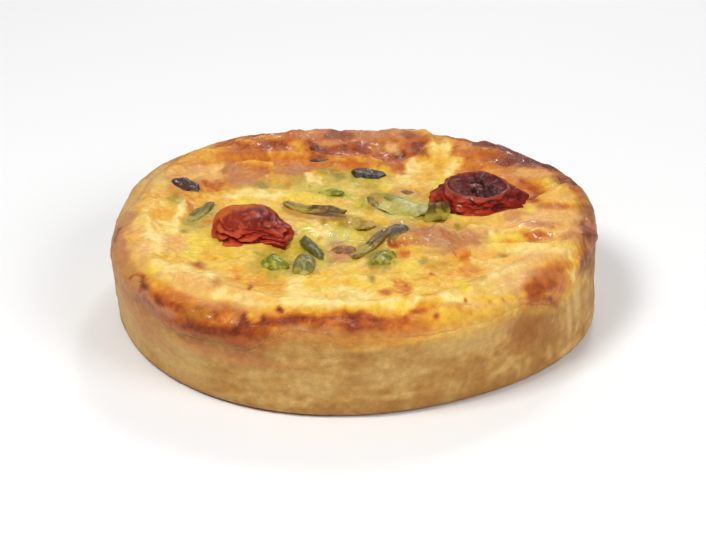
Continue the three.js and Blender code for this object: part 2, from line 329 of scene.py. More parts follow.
# Heat and colour.
RAMP = [
    (0, (240, 212, 134)),
    (0.15, (228, 186, 92)),
    (0.3, (220, 164, 50)),
    (0.45, (204, 122, 36)),
    (0.6, (172, 84, 24)),
    (0.75, (134, 56, 20)),
    (0.88, (92, 36, 18)),
    (1, (42, 24, 22)),
]
HEAT = {
    "cream": 0,
    "custard": 0.14,
    "gold": 0.29,
    "honey": 0.36,
    "orange": 0.46,
    "ochre": 0.5,
    "toast": 0.64,
    "umber": 0.72,
    "brown": 0.84,
    "char": 0.97,
}
HUES = {
    "lemon": linear((226, 194, 62)),
    "peach": linear((222, 166, 96)),
    "rose": linear((184, 118, 74)),
    "blush": linear((174, 90, 48)),
    "plum": linear((114, 50, 34)),
    "mauve": linear((184, 122, 82)),
    "amber": linear((180, 112, 30)),
    "tan": linear((178, 126, 62)),
    "mustard": linear((166, 128, 38)),
    "sage": linear((190, 184, 112)),
    "olive": linear((140, 120, 28)),
    "leek": linear((186, 170, 58)),
    "pastry": linear((184, 139, 74)),
    "pale_pastry": linear((210, 173, 108)),
    "dark_pastry": linear((156, 105, 50)),
    "toasted_pastry": linear((150, 80, 30)),
}


def heat_colour(heat):
    """The colour of custard after that much heat."""
    stops = np.array([at for at, _ in RAMP])
    colours = np.array([linear(colour) for _, colour in RAMP])
    return np.column_stack([np.interp(heat, stops, channel) for channel in colours.T])


print("hues:", ", ".join(HUES))

# %% [markdown]
# ## The pastry case
#
# A dish is usually turned from a profile. Here a flat grid is rolled up instead: each of its rows is a ring
# of the profile, and each ring may change with the angle, which a plain spin can't do. Row 0 is the middle
# of the underside and the last row is the middle of the floor, where the ring closes to a point.


# %% A rolled-up grid
def turned(name, rows, columns):
    """A closed piece whose profile is the list of rows, each a function from angles to (radius, z)."""
    bm = bmesh.new()
    bmesh.ops.create_grid(bm, x_segments=columns, y_segments=len(rows) - 1, size=1)
    flat = bm_places(bm)
    angle = math.pi * (flat[:, 0] + 1)
    angle[flat[:, 0] > 1 - 1e-6] = 0
    row = np.rint((flat[:, 1] + 1) / 2 * (len(rows) - 1)).astype(int)
    placed = np.zeros_like(flat)
    for k, at in enumerate(rows):
        here = row == k
        placed[here] = around(angle[here], *at(angle[here]))
    number = bm.verts.layers.float.new("row")
    for vert, k in zip(bm.verts, row):
        vert[number] = k
    set_bm_places(bm, placed)
    return piece_from(bm, name, merge=1e-4)


def each(row, shares):
    """One row of a profile for each share."""
    return [lambda angle, share=share: row(angle, share) for share in shares]


# %% Rows of the pastry case
COLUMNS = 640
WALL_ROWS = 38
RIM_ROWS = 17


def underside(angle, share):
    return share * (outer_radius(angle, 0 * angle) - FOOT_ROUND), 0 * angle


def foot(angle, tip):
    """The rounded edge of the base, which faces down at tip -90 and outwards at 0."""
    inset = outer_radius(angle, 0 * angle + FOOT_ROUND) - FOOT_ROUND
    out = FOOT_ROUND * math.cos(math.radians(tip))
    return inset + out, 0 * angle + FOOT_ROUND + FOOT_ROUND * math.sin(math.radians(tip))


def on_wall(angle, share):
    z = mix(FOOT_ROUND, rim_height(angle) - WALL / 2, share)
    return outer_radius(angle, z), z


def over_rim(angle, share):
    return on_case(angle, 0 * angle + share * QUARTER, 0)


def inner_wall(angle, share):
    z = mix(rim_height(angle) - WALL / 2, FLOOR, share)
    return outer_radius(angle, z) - WALL, z


case_rows = [
    *each(underside, (0, 0.4, 0.75, 0.9)),
    *each(foot, range(-90, 1, 15)),
    *each(on_wall, np.arange(1, WALL_ROWS) / WALL_ROWS),
    *each(over_rim, np.linspace(1, -1, RIM_ROWS)),
    *each(inner_wall, (0.25, 0.6, 1)),
    lambda angle: (0 * angle, 0 * angle + FLOOR),
]
case = turned("pastry_case_baked", case_rows, COLUMNS)
print("pastry case:", len(case.data.polygons), "faces")

# %% [markdown]
# ### Relief and colour of the pastry
#
# Shortcrust is rolled, pressed and crumbly: long shallow dents from the fingers, smaller bumps, short
# cracks and a few flaps where two layers met. The dents are clouds of three sizes, pushed along the
# surface's own normals. In a few places at the back and the sides the filling pushed the rim up and out as
# it rose, and at the front left the foot of the wall is pressed in. Inside the case, where the filling
# hides it, the pastry stays smooth.

# %% Relief of the pastry
# Flaps and finger creases on the wall: angle and height of each end, rise and width in mm.
CREASES = [
    (251.5, 11.6, 255.5, 13.3, 0.35, 0.8),
    (255.5, 13.3, 259.5, 13.9, 0.35, 0.7),
    (270, 12.4, 282, 15.4, 0.18, 0.9),
    (277, 19.6, 294, 21.4, 0.28, 0.8),
    (262, 17.6, 279, 19.0, 0.2, 1.0),
    (296, 20.6, 312, 20.0, 0.2, 1.1),
    (300, 6.0, 318, 9.6, 0.15, 1.3),
    (230, 6.0, 246, 8.4, 0.16, 1.2),
    (205, 9.0, 214, 14.0, 0.18, 1.2),
    (332, 17, 335, 7, 0.3, 1.4),
    (341, 18, 343, 8, 0.25, 1.3),
    (60, 8, 84, 12, 0.2, 1.2),
    (110, 15, 132, 11, 0.2, 1.2),
    (150, 6, 168, 12, 0.2, 1.3),
    (12, 14, 34, 9, 0.2, 1.2),
]


MM_A_DEGREE = math.radians(1) * BASE_RADIUS


def crease_rise(places):
    """Height of the flaps above the wall, by distance to each crease's line on the wall."""
    angle = np.degrees(angle_of(places)) % 360
    rise = np.zeros(len(places))
    for a0, z0, a1, z1, height, width in CREASES:
        step = np.array(((a1 - a0) * MM_A_DEGREE, z1 - z0))
        s = (angle - a0) * MM_A_DEGREE
        z = places[:, 2] - z0
        t = np.clip((s * step[0] + z * step[1]) / (step @ step), 0, 1)
        away = np.hypot(s - t * step[0], z - t * step[1])
        ends = smooth(0, 0.25, t) * smooth(1, 0.75, t)
        rise = np.maximum(rise, height * hump(away / width) * (0.35 + 0.65 * ends))
    return rise


# Where the filling pushed the rim up and out: middle and half width in degrees, rise.
SWELLS = [(152, 26, 1.4), (116, 11, 1.2), (65, 9, 1), (44, 20, 1.2), (16, 15, 1.5)]
# Where the foot of the wall is pressed in by a millimetre, in the same terms.
TUCK = (216, 22, -1)


def swell(angle, swells=SWELLS):
    return sum(rise * hump(turn_from(angle, middle) / half) for middle, half, rise in swells)


def dents_at(places):
    """How far the pastry stands out from its plain shape."""
    angle = angle_of(places)
    dents = 0.34 * cloud(places, 17, 1, 2) + 0.2 * cloud(places, 6, 2) + 0.1 * cloud(places, 2.2, 3)
    crumb = -0.14 * smooth(0.35, 0.05, cells(places, 2.6, 4)) * smooth(0.1, 0.5, cloud(places, 9, 5))
    taller = swell(angle) * smooth(8, 22, places[:, 2])
    taller += swell(angle, [TUCK]) * smooth(16, 3, places[:, 2])
    return dents + crumb + taller + crease_rise(places) * (1 + 0.6 * cloud(places, 3, 6))


def past_crest(places):
    """How far a place is past the rim's crest, outwards and then down the wall."""
    angle = angle_of(places)
    half = WALL / 2
    up = places[:, 2] - (rim_height(angle) - half)
    out = np.hypot(places[:, 0], places[:, 1]) - (outer_radius(angle, rim_height(angle) - half) - half)
    over = half * np.arctan2(out, np.maximum(up, 0)) + np.maximum(-up, 0)
    return np.where((out < 0) & (up > -half), out, over)


def far_edge(angle):
    """How far past the crest the custard set: ragged, because it stiffened while it flowed."""
    round_rim = around(angle, RIM_RADIUS, 0 * angle)
    ragged = 0.7 * cloud(round_rim, 8, 21, 2) + 0.3 * cloud(round_rim, 2.6, 22, 2)
    far = reach(angle)
    return far + ragged * (0.45 + 0.55 * smooth(-1.3, 2, far))


places = places_of(case.data)
past = past_crest(places)
# The relief fades out at the foot and inside the rim, and sinks a little under the custard.
shows = smooth(0.4, 2.6, places[:, 2]) * smooth(-2.2, -1, past)
covered = smooth(0.4, 2.4, far_edge(angle_of(places)) - past)
push = shows * (dents_at(places) - 0.5 * covered)
set_places(case.data, places + normals_of(case.data) * push[:, None])
print("pastry relief from", round(push.min(), 2), "to", round(push.max(), 2), "mm")

# %% Colour of the pastry
# Toasted and pale areas of the wall: angle, height, half width in degrees, half height in mm, colour and
# strength.
WALL_PATCHES = [
    (320, 12, 9, 9, "dark_pastry", 0.8),
    (315, 15, 10, 8, "toasted_pastry", 0.5),
    (305, 19, 7, 3, "rose", 0.5),
    (336, 17, 3, 9, "pale_pastry", 0.8),
    (331, 12, 1.4, 7, "pale_pastry", 0.7),
    (349, 20, 8, 7, "plum", 0.6),
    (352, 8, 9, 6, "dark_pastry", 0.5),
    (305, 3, 20, 4, "dark_pastry", 0.6),
    (283, 3, 24, 3, "dark_pastry", 0.5),
    (296, 18, 12, 4, "pale_pastry", 0.5),
    (279, 12, 9, 3, "pale_pastry", 0.4),
    (262, 9, 7, 4, "pale_pastry", 0.4),
    (251, 14, 5, 3, "dark_pastry", 0.5),
    (240, 13.4, 20, 2.6, "rose", 0.6),
    (226, 8, 12, 7, "pale_pastry", 0.5),
    (212, 14, 14, 8, "rose", 0.5),
    (205, 8, 12, 8, "pale_pastry", 0.5),
    (196, 20, 12, 5, "toasted_pastry", 0.6),
    (186, 12, 8, 9, "pale_pastry", 0.35),
    (160, 19, 20, 6, "pale_pastry", 0.5),
    (130, 17, 18, 6, "dark_pastry", 0.4),
    (90, 18, 26, 5, "toasted_pastry", 0.4),
    (45, 18, 18, 6, "toasted_pastry", 0.45),
    (18, 12, 14, 8, "dark_pastry", 0.35),
    (70, 5, 26, 4, "dark_pastry", 0.35),
]


def wall_colour(places):
    angle = angle_of(places)
    z = places[:, 2]
    mottle = cloud(places, 5.5, 11)
    fine = cloud(places, 1.7, 12)
    streak = cloud(places * np.array((0.45, 0.45, 1.6)), 3.2, 13)
    colour = np.tile(HUES["pastry"], (len(places), 1))
    light = np.clip(0.55 * mottle + 0.5 * fine + 0.5 * streak, -0.9, 0.9)
    colour = tinted(colour, HUES["pale_pastry"], np.clip(light, 0, 1))
    colour = tinted(colour, HUES["dark_pastry"], np.clip(-light, 0, 1))
    # Darker towards the foot, within 3.2 mm of the table: painted shade where the wall turns under.
    colour = tinted(colour, HUES["dark_pastry"], 0.5 * smooth(3.2, 0, z + 0.8 * mottle))
    for a0, z0, wide, high, name, strength in WALL_PATCHES:
        q = np.hypot(turn_from(angle, a0) / wide, (z - z0) / high) + 0.35 * mottle + 0.15 * fine
        colour = tinted(colour, HUES[name], strength * smooth(1.15, 0.35, q))
    return colour


paint(case.data, "gloss", np.clip(0.25 + 0.3 * cloud(places, 7, 14, 2), 0.05, 0.7))
print("wall patches:", len(WALL_PATCHES))

# %% [markdown]
# ## The custard
#
# Egg, cream and grated cheese set as one soft block. Its mesh is turned like the case: from the middle of
# its underside out along the pastry, over the rim as far as it ran, back over its own skin and in to the
# middle of the top. The skin's edge is thin, rounded and ragged, which makes it look poured and not cut.

# %% Rows of the custard
UNDER_ROWS = 6
SKIN_ROWS = 24
TOP_ROWS = 96
# The gap between the custard and the inside of the case.
UNDER = 0.05
# The runs that poured over as a thick tongue.
POURED = [RUNS[0], RUNS[2]]


def poured(angle):
    """1 where the custard poured over as a thick tongue, 0 where it only crept."""
    tongues = [1 - smooth(0.5, 1.1, turn_from(angle, middle) / half) for middle, half, _ in POURED]
    return np.max(tongues, axis=0)


def crest_of(angle):
    return on_case(angle, 0 * angle, 0)


def dents_on(angle, d):
    """The dents of the pastry under the custard, which follows them where it is thin."""
    return dents_at(around(angle, *on_case(angle, d, 0)))


def skin_row(angle, share):
    """The custard's skin, from its edge on the case at share 0 to the start of the flat top at share 1."""
    far = far_edge(angle)
    d = mix(far, EDGE_START, share)
    crest_radius, crest_z = crest_of(angle)
    radius = crest_radius + np.minimum(d, 0)
    proud = level_at(angle, radius) - crest_z
    thickness = mix(THIN_FILM, FILM, poured(angle))
    film = mix(proud, thickness, smooth(-2, 3, d))
    left = np.clip((far - d) / mix(THIN_EDGE_ROUND, EDGE_ROUND, poured(angle)), 0, 1)
    thick = mix(TIP, film, np.sqrt(left * (2 - left)))
    thick = thick + dents_on(angle, np.maximum(d, 0)) * smooth(-3, 0, d)
    outer, z = on_case(angle, d, thick)
    return np.where(d < 0, radius, outer), np.where(d < 0, crest_z + thick, z)


def top_row(angle, share):
    radius = share * (crest_of(angle)[0] + EDGE_START)
    return radius, level_at(angle, radius)


def under_row(angle, share):
    d = mix(-QUARTER, far_edge(angle), share)
    off = mix(UNDER, SUNK, smooth(0, 0.4, share))
    return on_case(angle, d, off + dents_on(angle, d) * smooth(-1, 0.5, d))


def lining_row(angle, share):
    radius, z = inner_wall(angle, share)
    return radius - UNDER, z + UNDER


hidden_rows = [
    lambda angle: (0 * angle, 0 * angle + FLOOR + UNDER),
    *each(lining_row, (1, 0.6, 0.25)),
    *each(under_row, np.linspace(0, 1, UNDER_ROWS)),
]
skin_rows = each(skin_row, np.linspace(0, 1, SKIN_ROWS) ** 1.5)
top_rows = each(top_row, np.linspace(1, 0, TOP_ROWS)[1:])
custard = turned("custard_baked", hidden_rows + skin_rows + top_rows, COLUMNS)
print("custard:", len(custard.data.polygons), "faces")

# %% [markdown]
# ### Where things lie on the top
#
# Folds and browned patches were placed as seen from the front, looking down at about 25 degrees, as if the
# top were a level plane 25 mm up. A place that stands higher than that plane looks as if it lay further
# back. So each vertex is carried along the line from the eye to that plane before it is compared with the
# lists below. Surfaces that face away from the eye take no part.

# %% Seen places
# The eye and the height of the plane, in mm.
EYE = np.array((0.35, -473.2, 226.0))
SEEN_LEVEL = 25


def seen_places(places):
    """Where each place seems to lie on the level plane, seen from the front."""
    stretch = (EYE[2] - SEEN_LEVEL) / (EYE[2] - places[:, 2])
    return EYE[:2] + (places[:, :2] - EYE[:2]) * stretch[:, None]


def faces_eye(places, normals):
    """1 where the surface faces the eye, and 0 where it faces well away."""
    sight = EYE - places
    sight /= np.linalg.norm(sight, axis=1)[:, None]
    return smooth(-0.3, 0, (normals * sight).sum(axis=1))


def line_distance(places, points):
    """Distance from each place, seen from above, to a line through the points."""
    nearest = np.full(len(places), 1e9)
    for start, end in zip(points, points[1:]):
        step = np.subtract(end, start)
        away = places[:, :2] - start
        t = np.clip(away @ step / (step @ step), 0, 1)
        nearest = np.minimum(nearest, np.hypot(*(away - t[:, None] * step).T))
    return nearest


# %% [markdown]
# ### Toppings
#
# One table places every topping, because the custard needs it too: it creeps up a little round each piece
# as it sets, and takes some of its colour. Each row gives the kind, the place, the size as length, width
# and height, the turn, and the share of the height that is sunk into the custard.

# %% The table of toppings
# Name: kind, x, y, size, turn, sunk, slot, and the stain on the custard round it.
TOPPINGS = {
    "tomato_left": ("dome", -26.2, -6.8, (17.4, 20, 9.8), 4, 0.4, "roasted_tomato", "rose"),
    "tomato_right": ("cup", 31.6, 9.6, (23, 21.2, 8.8), 3, 0.34, "roasted_tomato", "orange"),
    "charred_piece_left": ("chunk", -43.8, 18.6, (9.4, 5.4, 3.4), -48, 0.4, "charred_vegetable", "gold"),
    "charred_piece_back": ("chunk", 4.2, 28.2, (9.2, 5.6, 3.2), -38, 0.3, "charred_vegetable", "olive"),
    "charred_sliver_back": ("chunk", -8.5, 38.2, (9, 2.8, 2.2), 8, 0.5, "charred_vegetable", "rose"),
    "leaf_strip_left": ("strip", -38.4, 3.2, (12.4, 2.7, 1.4), 64, 0.2, "olive_vegetable", "olive"),
    "leaf_strip_middle": ("strip", -9.8, 4.6, (17, 3.4, 1.4), -27, 0.1, "mushroom", "rose"),
    "leaf_sliver_back": ("strip", -5.4, 15.4, (6.4, 2.8, 1.3), -24, 0.1, "green_vegetable", "custard"),
    "leek_slice_middle": ("strip", 1.6, -2.9, (8, 4.6, 1.5), -50, 0.3, "olive_vegetable", "olive"),
    "bean_stick_front": ("stick", -9.9, -18.7, (12, 3.6, 3.2), -66, 0.2, "green_vegetable", "olive"),
    "bean_block_front": ("block", -11.1, -29.6, (7.2, 4.6, 4.2), 79, 0.1, "grey_green_vegetable", "custard"),
    "pepper_piece_front": ("chunk", -18.8, -27.6, (8.4, 5.2, 3.6), 112, 0.3, "green_vegetable", "lemon"),
    "bean_strip_front": ("strip", 4.4, -17, (15.5, 2.7, 2), 58, 0.1, "green_vegetable", "olive"),
    "bean_tip_front": ("chunk", 11.2, -10.2, (5.2, 4.4, 3.2), 30, 0.2, "grey_green_vegetable", "rose"),
    "pepper_piece_right": ("chunk", 7.4, -24.6, (7.6, 4.8, 3.4), 72, 0.3, "green_vegetable", "olive"),
    "mushroom_piece_front": ("chunk", -2.2, -20, (5.6, 4.4, 2.6), 10, 0.2, "mushroom", "rose"),
    "leek_chunk_middle": ("chunk", 5.3, 10.2, (7.4, 3, 2.6), 104, 0.3, "olive_vegetable", "olive"),
    "leek_wedge_middle": ("chunk", 10.6, 12.6, (8, 3.2, 2.4), -36, 0.3, "green_vegetable", "olive"),
    "leek_leaf_middle": ("strip", 13.4, 6.2, (13.5, 7, 1.5), -14, 0, "olive_vegetable", "custard"),
    "leek_end_right": ("strip", 21.6, 1.2, (8, 5.4, 2), 76, 0, "olive_vegetable", "olive"),
    "mushroom_sliver_back": ("chunk", 14, 16.6, (4.6, 2.8, 1.8), -40, 0.3, "mushroom", "rose"),
}


def share_out(places, x0, y0, long, wide, turn):
    """0 in the middle of an ellipse and 1 on its outline, seen from above."""
    along, across = along_across(places[:, 0], places[:, 1], x0, y0, turn)
    return np.hypot(along / (long / 2), across / (wide / 2))


print("toppings:", len(TOPPINGS))

# %% [markdown]
# ### Relief of the custard
#
# Grated cheese melts into soft heaps a centimetre across, with smaller curds on them. Steam lifts folds and
# blisters, and leaves pits where it broke through. Each is a term in one sum that is pushed along the
# normals. Where the rim swells, the custard beside it swells too.

# %% Folds and hollows
FOLD_STRENGTH = 2
HOLLOW_STRENGTH = 1.5
# Folds as lines of seen places: points, rise and half width in mm.
FOLDS = [
    ([(-48, -31), (-40, -36), (-30, -43), (-18, -49), (-5, -52), (10, -51), (22, -48)], 0.6, 2.4),
    ([(28, -44), (36, -34), (44, -27), (53, -20)], 0.6, 2.4),
    ([(25, -20), (35, -20.5), (45, -19), (52, -17), (57, -12)], 0.9, 1.6),
    ([(20, -3), (30, -2), (37, 3), (43, 8), (48, 11), (56, 14)], 1.0, 1.7),
    ([(33, -27), (42, -23), (52, -21)], 0.4, 1.2),
    ([(40, -9), (45, -5), (54, -3)], 0.6, 1.5),
    ([(21, -8), (24, -13), (27, -18)], 0.5, 1.4),
    ([(29, -8), (34, -9), (38, -9)], 0.6, 1.2),
    ([(14, -12), (19, -9), (24, -9)], 0.6, 1.4),
    ([(12, -20), (20, -20), (28, -22)], 0.5, 1.3),
    ([(-16, 57), (-4, 61), (6, 61), (18, 58)], 0.7, 3.4),
    ([(-13, 42), (-6, 38), (4, 37), (11, 32), (15, 37), (22, 44)], 0.8, 1.7),
    ([(-13, 52), (-12, 47), (-13, 42)], 0.5, 1.6),
    ([(20, 55), (22, 49), (20, 43)], 0.5, 1.6),
    ([(-46, 38), (-38, 42), (-27, 43), (-17, 42)], 0.6, 2),
    ([(-33, 27), (-32, 34), (-27, 37), (-22, 34)], 0.5, 1.6),
    ([(-20, 30), (-12, 27), (-4, 33)], 0.4, 1.8),
    ([(36, 50), (44, 45), (50, 38), (54, 32), (58, 26)], 0.7, 1.8),
    ([(41, 32), (47, 30), (53, 22)], 0.5, 1.7),
    ([(-52, 2), (-50, -10), (-51, -20), (-47, -29)], 0.5, 2),
    ([(-41, -7), (-37, -14), (-33, -19)], 0.3, 1.6),
    ([(-40, 24), (-41, 16), (-43, 8), (-43, 0)], 0.45, 1.6),
    ([(-4, -37), (6, -36), (14, -39)], 0.3, 1.6),
    ([(-35, 11), (-26, 13), (-17, 12)], 0.35, 1.6),
]
# Hollows as seen: x, y, half length, half width, turn, depth.
HOLLOWS = [
    (45, 10.5, 4, 2, 30, 0.9),
    (9.4, -14.5, 0.9, 3.4, 5, 0.8),
    (38, 5, 5, 1.4, 32, 0.6),
    (19, 36, 2.5, 4, 0, 0.5),
    (-17, -22, 4, 2, 0, 0.3),
    (30, -23.5, 6, 1.4, -5, 0.5),
    (40, -14, 5, 2.4, 5, 0.6),
    (47, -10.5, 3, 2, 0, 0.4),
    (46, 18, 4, 6, 0, 0.7),
    (-36, 20, 2.6, 6, 0, 0.4),
    (-49, -38, 0.8, 4, 5, 0.4),
    (-17, -53, 0.8, 1.6, 20, 0.5),
    (-21, -56.5, 0.7, 2, -10, 0.3),
]


# %% Relief of the custard
# How far it creeps up round each kind of topping, in mm.
COLLARS = {"dome": 0.9, "cup": 0.9, "strip": 0.3, "stick": 0.8, "block": 0.8, "chunk": 0.8}


def round_toppings(places):
    """The rise of the custard round each topping, and how much of the other relief is left there."""
    rise = np.zeros(len(places))
    left = np.ones(len(places))
    for kind, x, y, size, turn, *_ in TOPPINGS.values():
        q = share_out(places, x, y, size[0], size[1], turn)
        outside = (q - 1) * min(size[0], size[1]) / 2
        rise += COLLARS[kind] * hump(np.maximum(outside, 0) / 1.3) * smooth(-1.4, -0.2, outside)
        left = np.minimum(left, smooth(-0.5, 2.5, outside))
    return rise, left


def cheese_relief(places, past):
    """Heaps and curds of melted cheese, pits in it, and long runs where it flowed down the wall."""
    heap = 0.5 * cloud(places, 9, 31, 2) + 0.5 * cloud(places, 4.2, 32, 2)
    heap += 0.22 * cloud(places, 1.8, 33, 2)
    curd = 0.34 * smooth(0.8, 0.1, cells(places, 3.4, 35))
    curdled = smooth(-0.1, 0.3, cloud(places, 9, 34, 2)) * smooth(-1, -4, past)
    pit = -0.4 * smooth(0.22, 0.08, cells(places, 6, 36)) * smooth(0.1, 0.4, cloud(places, 11, 37, 2))
    run = 0.25 * smooth(0.5, 3, past) * cloud(places * np.array((1, 1, 0.35)), 2.6, 38, 2)
    return heap + curd * curdled + pit + run


def relief(places, normals, past):
    """How far the custard stands out from its plain shape."""
    total = cheese_relief(places, past)
    total += swell(angle_of(places)) * smooth(-10, -4, past) * smooth(0, -3, past)
    seen = seen_places(places)
    shown = faces_eye(places, normals)
    wavering = 0.8 * cloud(places, 5, 39, 1)
    for points, rise, width in FOLDS:
        total += FOLD_STRENGTH * shown * rise * hump((line_distance(seen, points) + wavering) / width)
    for hollow in HOLLOWS:
        total -= HOLLOW_STRENGTH * shown * lump(seen[:, 0], seen[:, 1], *hollow)
    rise, left = round_toppings(places)
    return total * (0.25 + 0.75 * left) + rise


places = places_of(custard.data)
normals = normals_of(custard.data)
past = past_crest(places)
rows_from_edge = values_of(custard.data, "row") - len(hidden_rows)
free = smooth(0, 6, rows_from_edge) * (1 - 0.7 * smooth(-2, 1, past) * (1 - poured(angle_of(places))))
push = free * relief(places, normals, past)
set_places(custard.data, places + normals * push[:, None])
print("custard relief from", round(push.min(), 2), "to", round(push.max(), 2), "mm")

# %% [markdown]
# ### Colour of the custard
#
# Under the browning the custard is pale yellow, with cream where cheese melted and gold where it began to
# toast. Browned patches are named one by one, with soft and broken outlines, because no real quiche browns
# evenly. The broad areas come first and the small marks are laid over them, so the order of the list
# counts. Those on the rim are placed by their angle and by how far past the crest they lie.
# A few small pale marks in the lists are painted highlights, and a few dark ones painted shade in hollows.
# The relief is painted too: paler on lifted places as painted light, darker in hollows as painted shade.

# %% Browned patches: broad areas
# All patches are as seen: x, y, half length, half width, turn, colour, strength.
BROAD_PATCHES = [
    (-34, 40, 20, 14, -20, "orange", 0.8),
    (-22, 52, 18, 8, -5, "toast", 0.95),
    (-14, 36, 18, 9, 0, "ochre", 0.7),
    (-38, 22, 9, 14, 0, "orange", 0.7),
    (-24, 29, 12, 8, 0, "rose", 0.8),
    (-40, 34, 12, 8, -30, "rose", 0.4),
    (-12, 24, 8, 5, 0, "mustard", 0.3),
    (-53, 27, 11, 3.6, 63, "pale_pastry", 0.85),
    (-58, 8, 10, 2.8, 82, "pale_pastry", 0.8),
    (-44, 42, 8, 2.6, 46, "rose", 0.5),
    (-53, 12, 3, 6, 0, "peach", 0.6),
    (-53.5, -16, 3, 18, 5, "peach", 0.7),
    (4, 48, 22, 14, 0, "toast", 0.9),
    (42, 42, 20, 12, -38, "toast", 0.9),
    (36, 30, 14, 8, -20, "orange", 0.8),
    (50, 14, 10, 12, 0, "orange", 0.6),
    (50, -2, 10, 8, 10, "peach", 0.8),
    (40, -30, 14, 8, 20, "peach", 0.7),
    (37, -37, 8, 6, 15, "pale_pastry", 0.7),
    (18, -13, 12, 8, -8, "tan", 0.8),
    (-21, 27, 9, 5, 0, "rose", 0.5),
    (-20, 25, 9, 6, 0, "tan", 0.3),
    (-43, 22, 7, 10, 0, "tan", 0.5),
    (46, 31, 7, 5, -30, "mauve", 0.6),
    (-38, 26, 12, 12, 0, "rose", 0.3),
    (-24, 44, 12, 6, 0, "ochre", 0.5),
    (40, -12, 20, 14, 0, "peach", 0.6),
    (-33, -42, 14, 8, -30, "peach", 0.6),
    (18, -12, 14, 9, -8, "rose", 0.6),
    (22, 2, 12, 5, 0, "lemon", 0.5),
    (-4, -12, 16, 8, 0, "leek", 0.6),
    (8, 8, 12, 7, -10, "leek", 0.6),
    (-8, 22, 16, 7, 0, "leek", 0.5),
    (-30, -16, 12, 10, 0, "lemon", 0.6),
    (-14, -36, 16, 8, 0, "gold", 0.6),
    (20, -34, 14, 8, 0, "gold", 0.6),
    (42, -14, 12, 7, 0, "gold", 0.6),
]

# %% Browned patches on the left, from the rim inwards
LEFT_PATCHES = [
    (-57, -4, 3, 7, 0, "mauve", 0.7),
    (-57, -13, 2.6, 7, 8, "mauve", 0.85),
    (-58, -10, 1.6, 4, 8, "plum", 0.7),
    (-55, -25, 1.8, 6, 12, "rose", 0.8),
    (-52.4, -30, 1.8, 6, 12, "tan", 0.8),
    (-50, -22, 1.6, 8, 10, "peach", 0.6),
    (-49, -14, 2.4, 7, 4, "cream", 0.7),
    (-44, -5, 1.6, 7, 0, "cream", 0.8),
    (-41.6, 0, 1.2, 5, 0, "ochre", 0.6),
    (-39.6, -4, 1.6, 5, 0, "olive", 0.5),
    (-41.4, -8.5, 0.9, 1.6, 20, "olive", 0.9),
    (-43.5, -16, 3.2, 5, 5, "peach", 1),
    (-43.5, -17, 2, 3.2, 5, "orange", 0.35),
    (-37, -14, 3, 5, 0, "lemon", 0.6),
    (-47.4, -24, 1.6, 2.6, 20, "gold", 0.8),
    (-42.5, -25, 3, 3.6, 10, "gold", 0.6),
    (-36.4, -29, 1.7, 2, 0, "blush", 0.9),
    (-36.6, -28, 0.6, 1.5, -12, "toast", 1),
    (-33, -23, 3, 4, 0, "gold", 0.7),
    (-27, -29, 3, 4.4, 0, "gold", 0.6),
    (-24.4, -34, 2.6, 6, 0, "gold", 0.8),
    (-19, -41, 4.4, 4, 0, "gold", 0.85),
    (-23.4, -41.6, 0.5, 1.5, 5, "brown", 0.9),
    (-36, -32.5, 6.4, 2, -25, "cream", 0.8),
    (-37, -38, 7, 2.6, -38, "peach", 0.6),
    (-31.5, -38.5, 1, 2.2, 0, "blush", 0.6),
    (-29, -46, 4.4, 3, -15, "cream", 0.8),
    (-22, -49.6, 5, 2.2, -5, "cream", 0.7),
    (-27, -51.6, 4, 1.6, -10, "rose", 0.7),
    (-12, -44, 3, 8, 0, "cream", 0.9),
    (-2, -46, 12, 5, 0, "cream", 0.7),
    (-8, -41, 3, 5, 0, "lemon", 0.4),
    (-8, -52.6, 11, 1.8, 0, "honey", 0.8),
]

# %% Browned patches at the front left, where it ran over
RUN_PATCHES = [
    (-48.8, -38, 1, 5, 8, "brown", 0.85),
    (-46, -37, 2.2, 4, 5, "amber", 0.6),
    (-45.6, -37.4, 1.6, 3.4, 5, "gold", 0.8),
    (-48.6, -44, 1.1, 3, 10, "brown", 0.85),
    (-44, -43, 2, 4, 20, "honey", 0.9),
    (-41.6, -50.4, 4, 7, 32, "toast", 0.9),
    (-38.6, -46, 1.6, 5, 30, "ochre", 0.7),
    (-39.6, -51.6, 2, 2.2, 0, "umber", 0.9),
    (-42, -43, 1.4, 3, 15, "ochre", 0.8),
    (-34.5, -56, 3.2, 6, 30, "amber", 0.8),
    (-33, -61, 5, 3, -30, "ochre", 0.8),
    (-28, -56, 2.4, 4.4, 10, "orange", 0.8),
    (-46.6, -51, 2.8, 10, 28, "mauve", 0.9),
    (-47, -52, 2, 9, 28, "plum", 0.5),
    (-51, -42, 1.8, 6, 12, "mauve", 0.7),
    (-52.5, -38, 1.8, 5, 12, "tan", 0.6),
    (-49.4, -49, 0.6, 2, 8, "brown", 0.9),
    (-37, -61, 6, 2.6, -35, "toast", 0.9),
    (-30, -64, 7, 2.4, -14, "brown", 0.7),
    (-28.6, -55.6, 1.6, 3, 10, "orange", 0.9),
    (-26, -57.4, 0.7, 3, 10, "rose", 0.8),
    (-24, -56.6, 0.8, 3.2, 5, "brown", 0.85),
    (-22, -57, 1.4, 2.8, 5, "gold", 1),
    (-20.2, -58, 0.6, 2.4, 0, "brown", 0.8),
    (-17, -52.8, 0.8, 1.9, 10, "brown", 1),
    (-23, -61.4, 4, 1.6, 0, "brown", 0.8),
    (-8, -60.2, 13, 5, 0, "toast", 0.95),
    (-9, -57.6, 6, 1.4, 0, "umber", 0.7),
    (-6, -55.8, 10, 1, 0, "orange", 0.7),
    (-12.4, -61.6, 0.7, 2.6, 5, "brown", 0.7),
    (-15, -63, 3, 1.8, 0, "orange", 0.7),
    (1.6, -60, 2.4, 4, 10, "brown", 0.7),
    (2, -59, 4, 4.6, 0, "toast", 0.9),
]

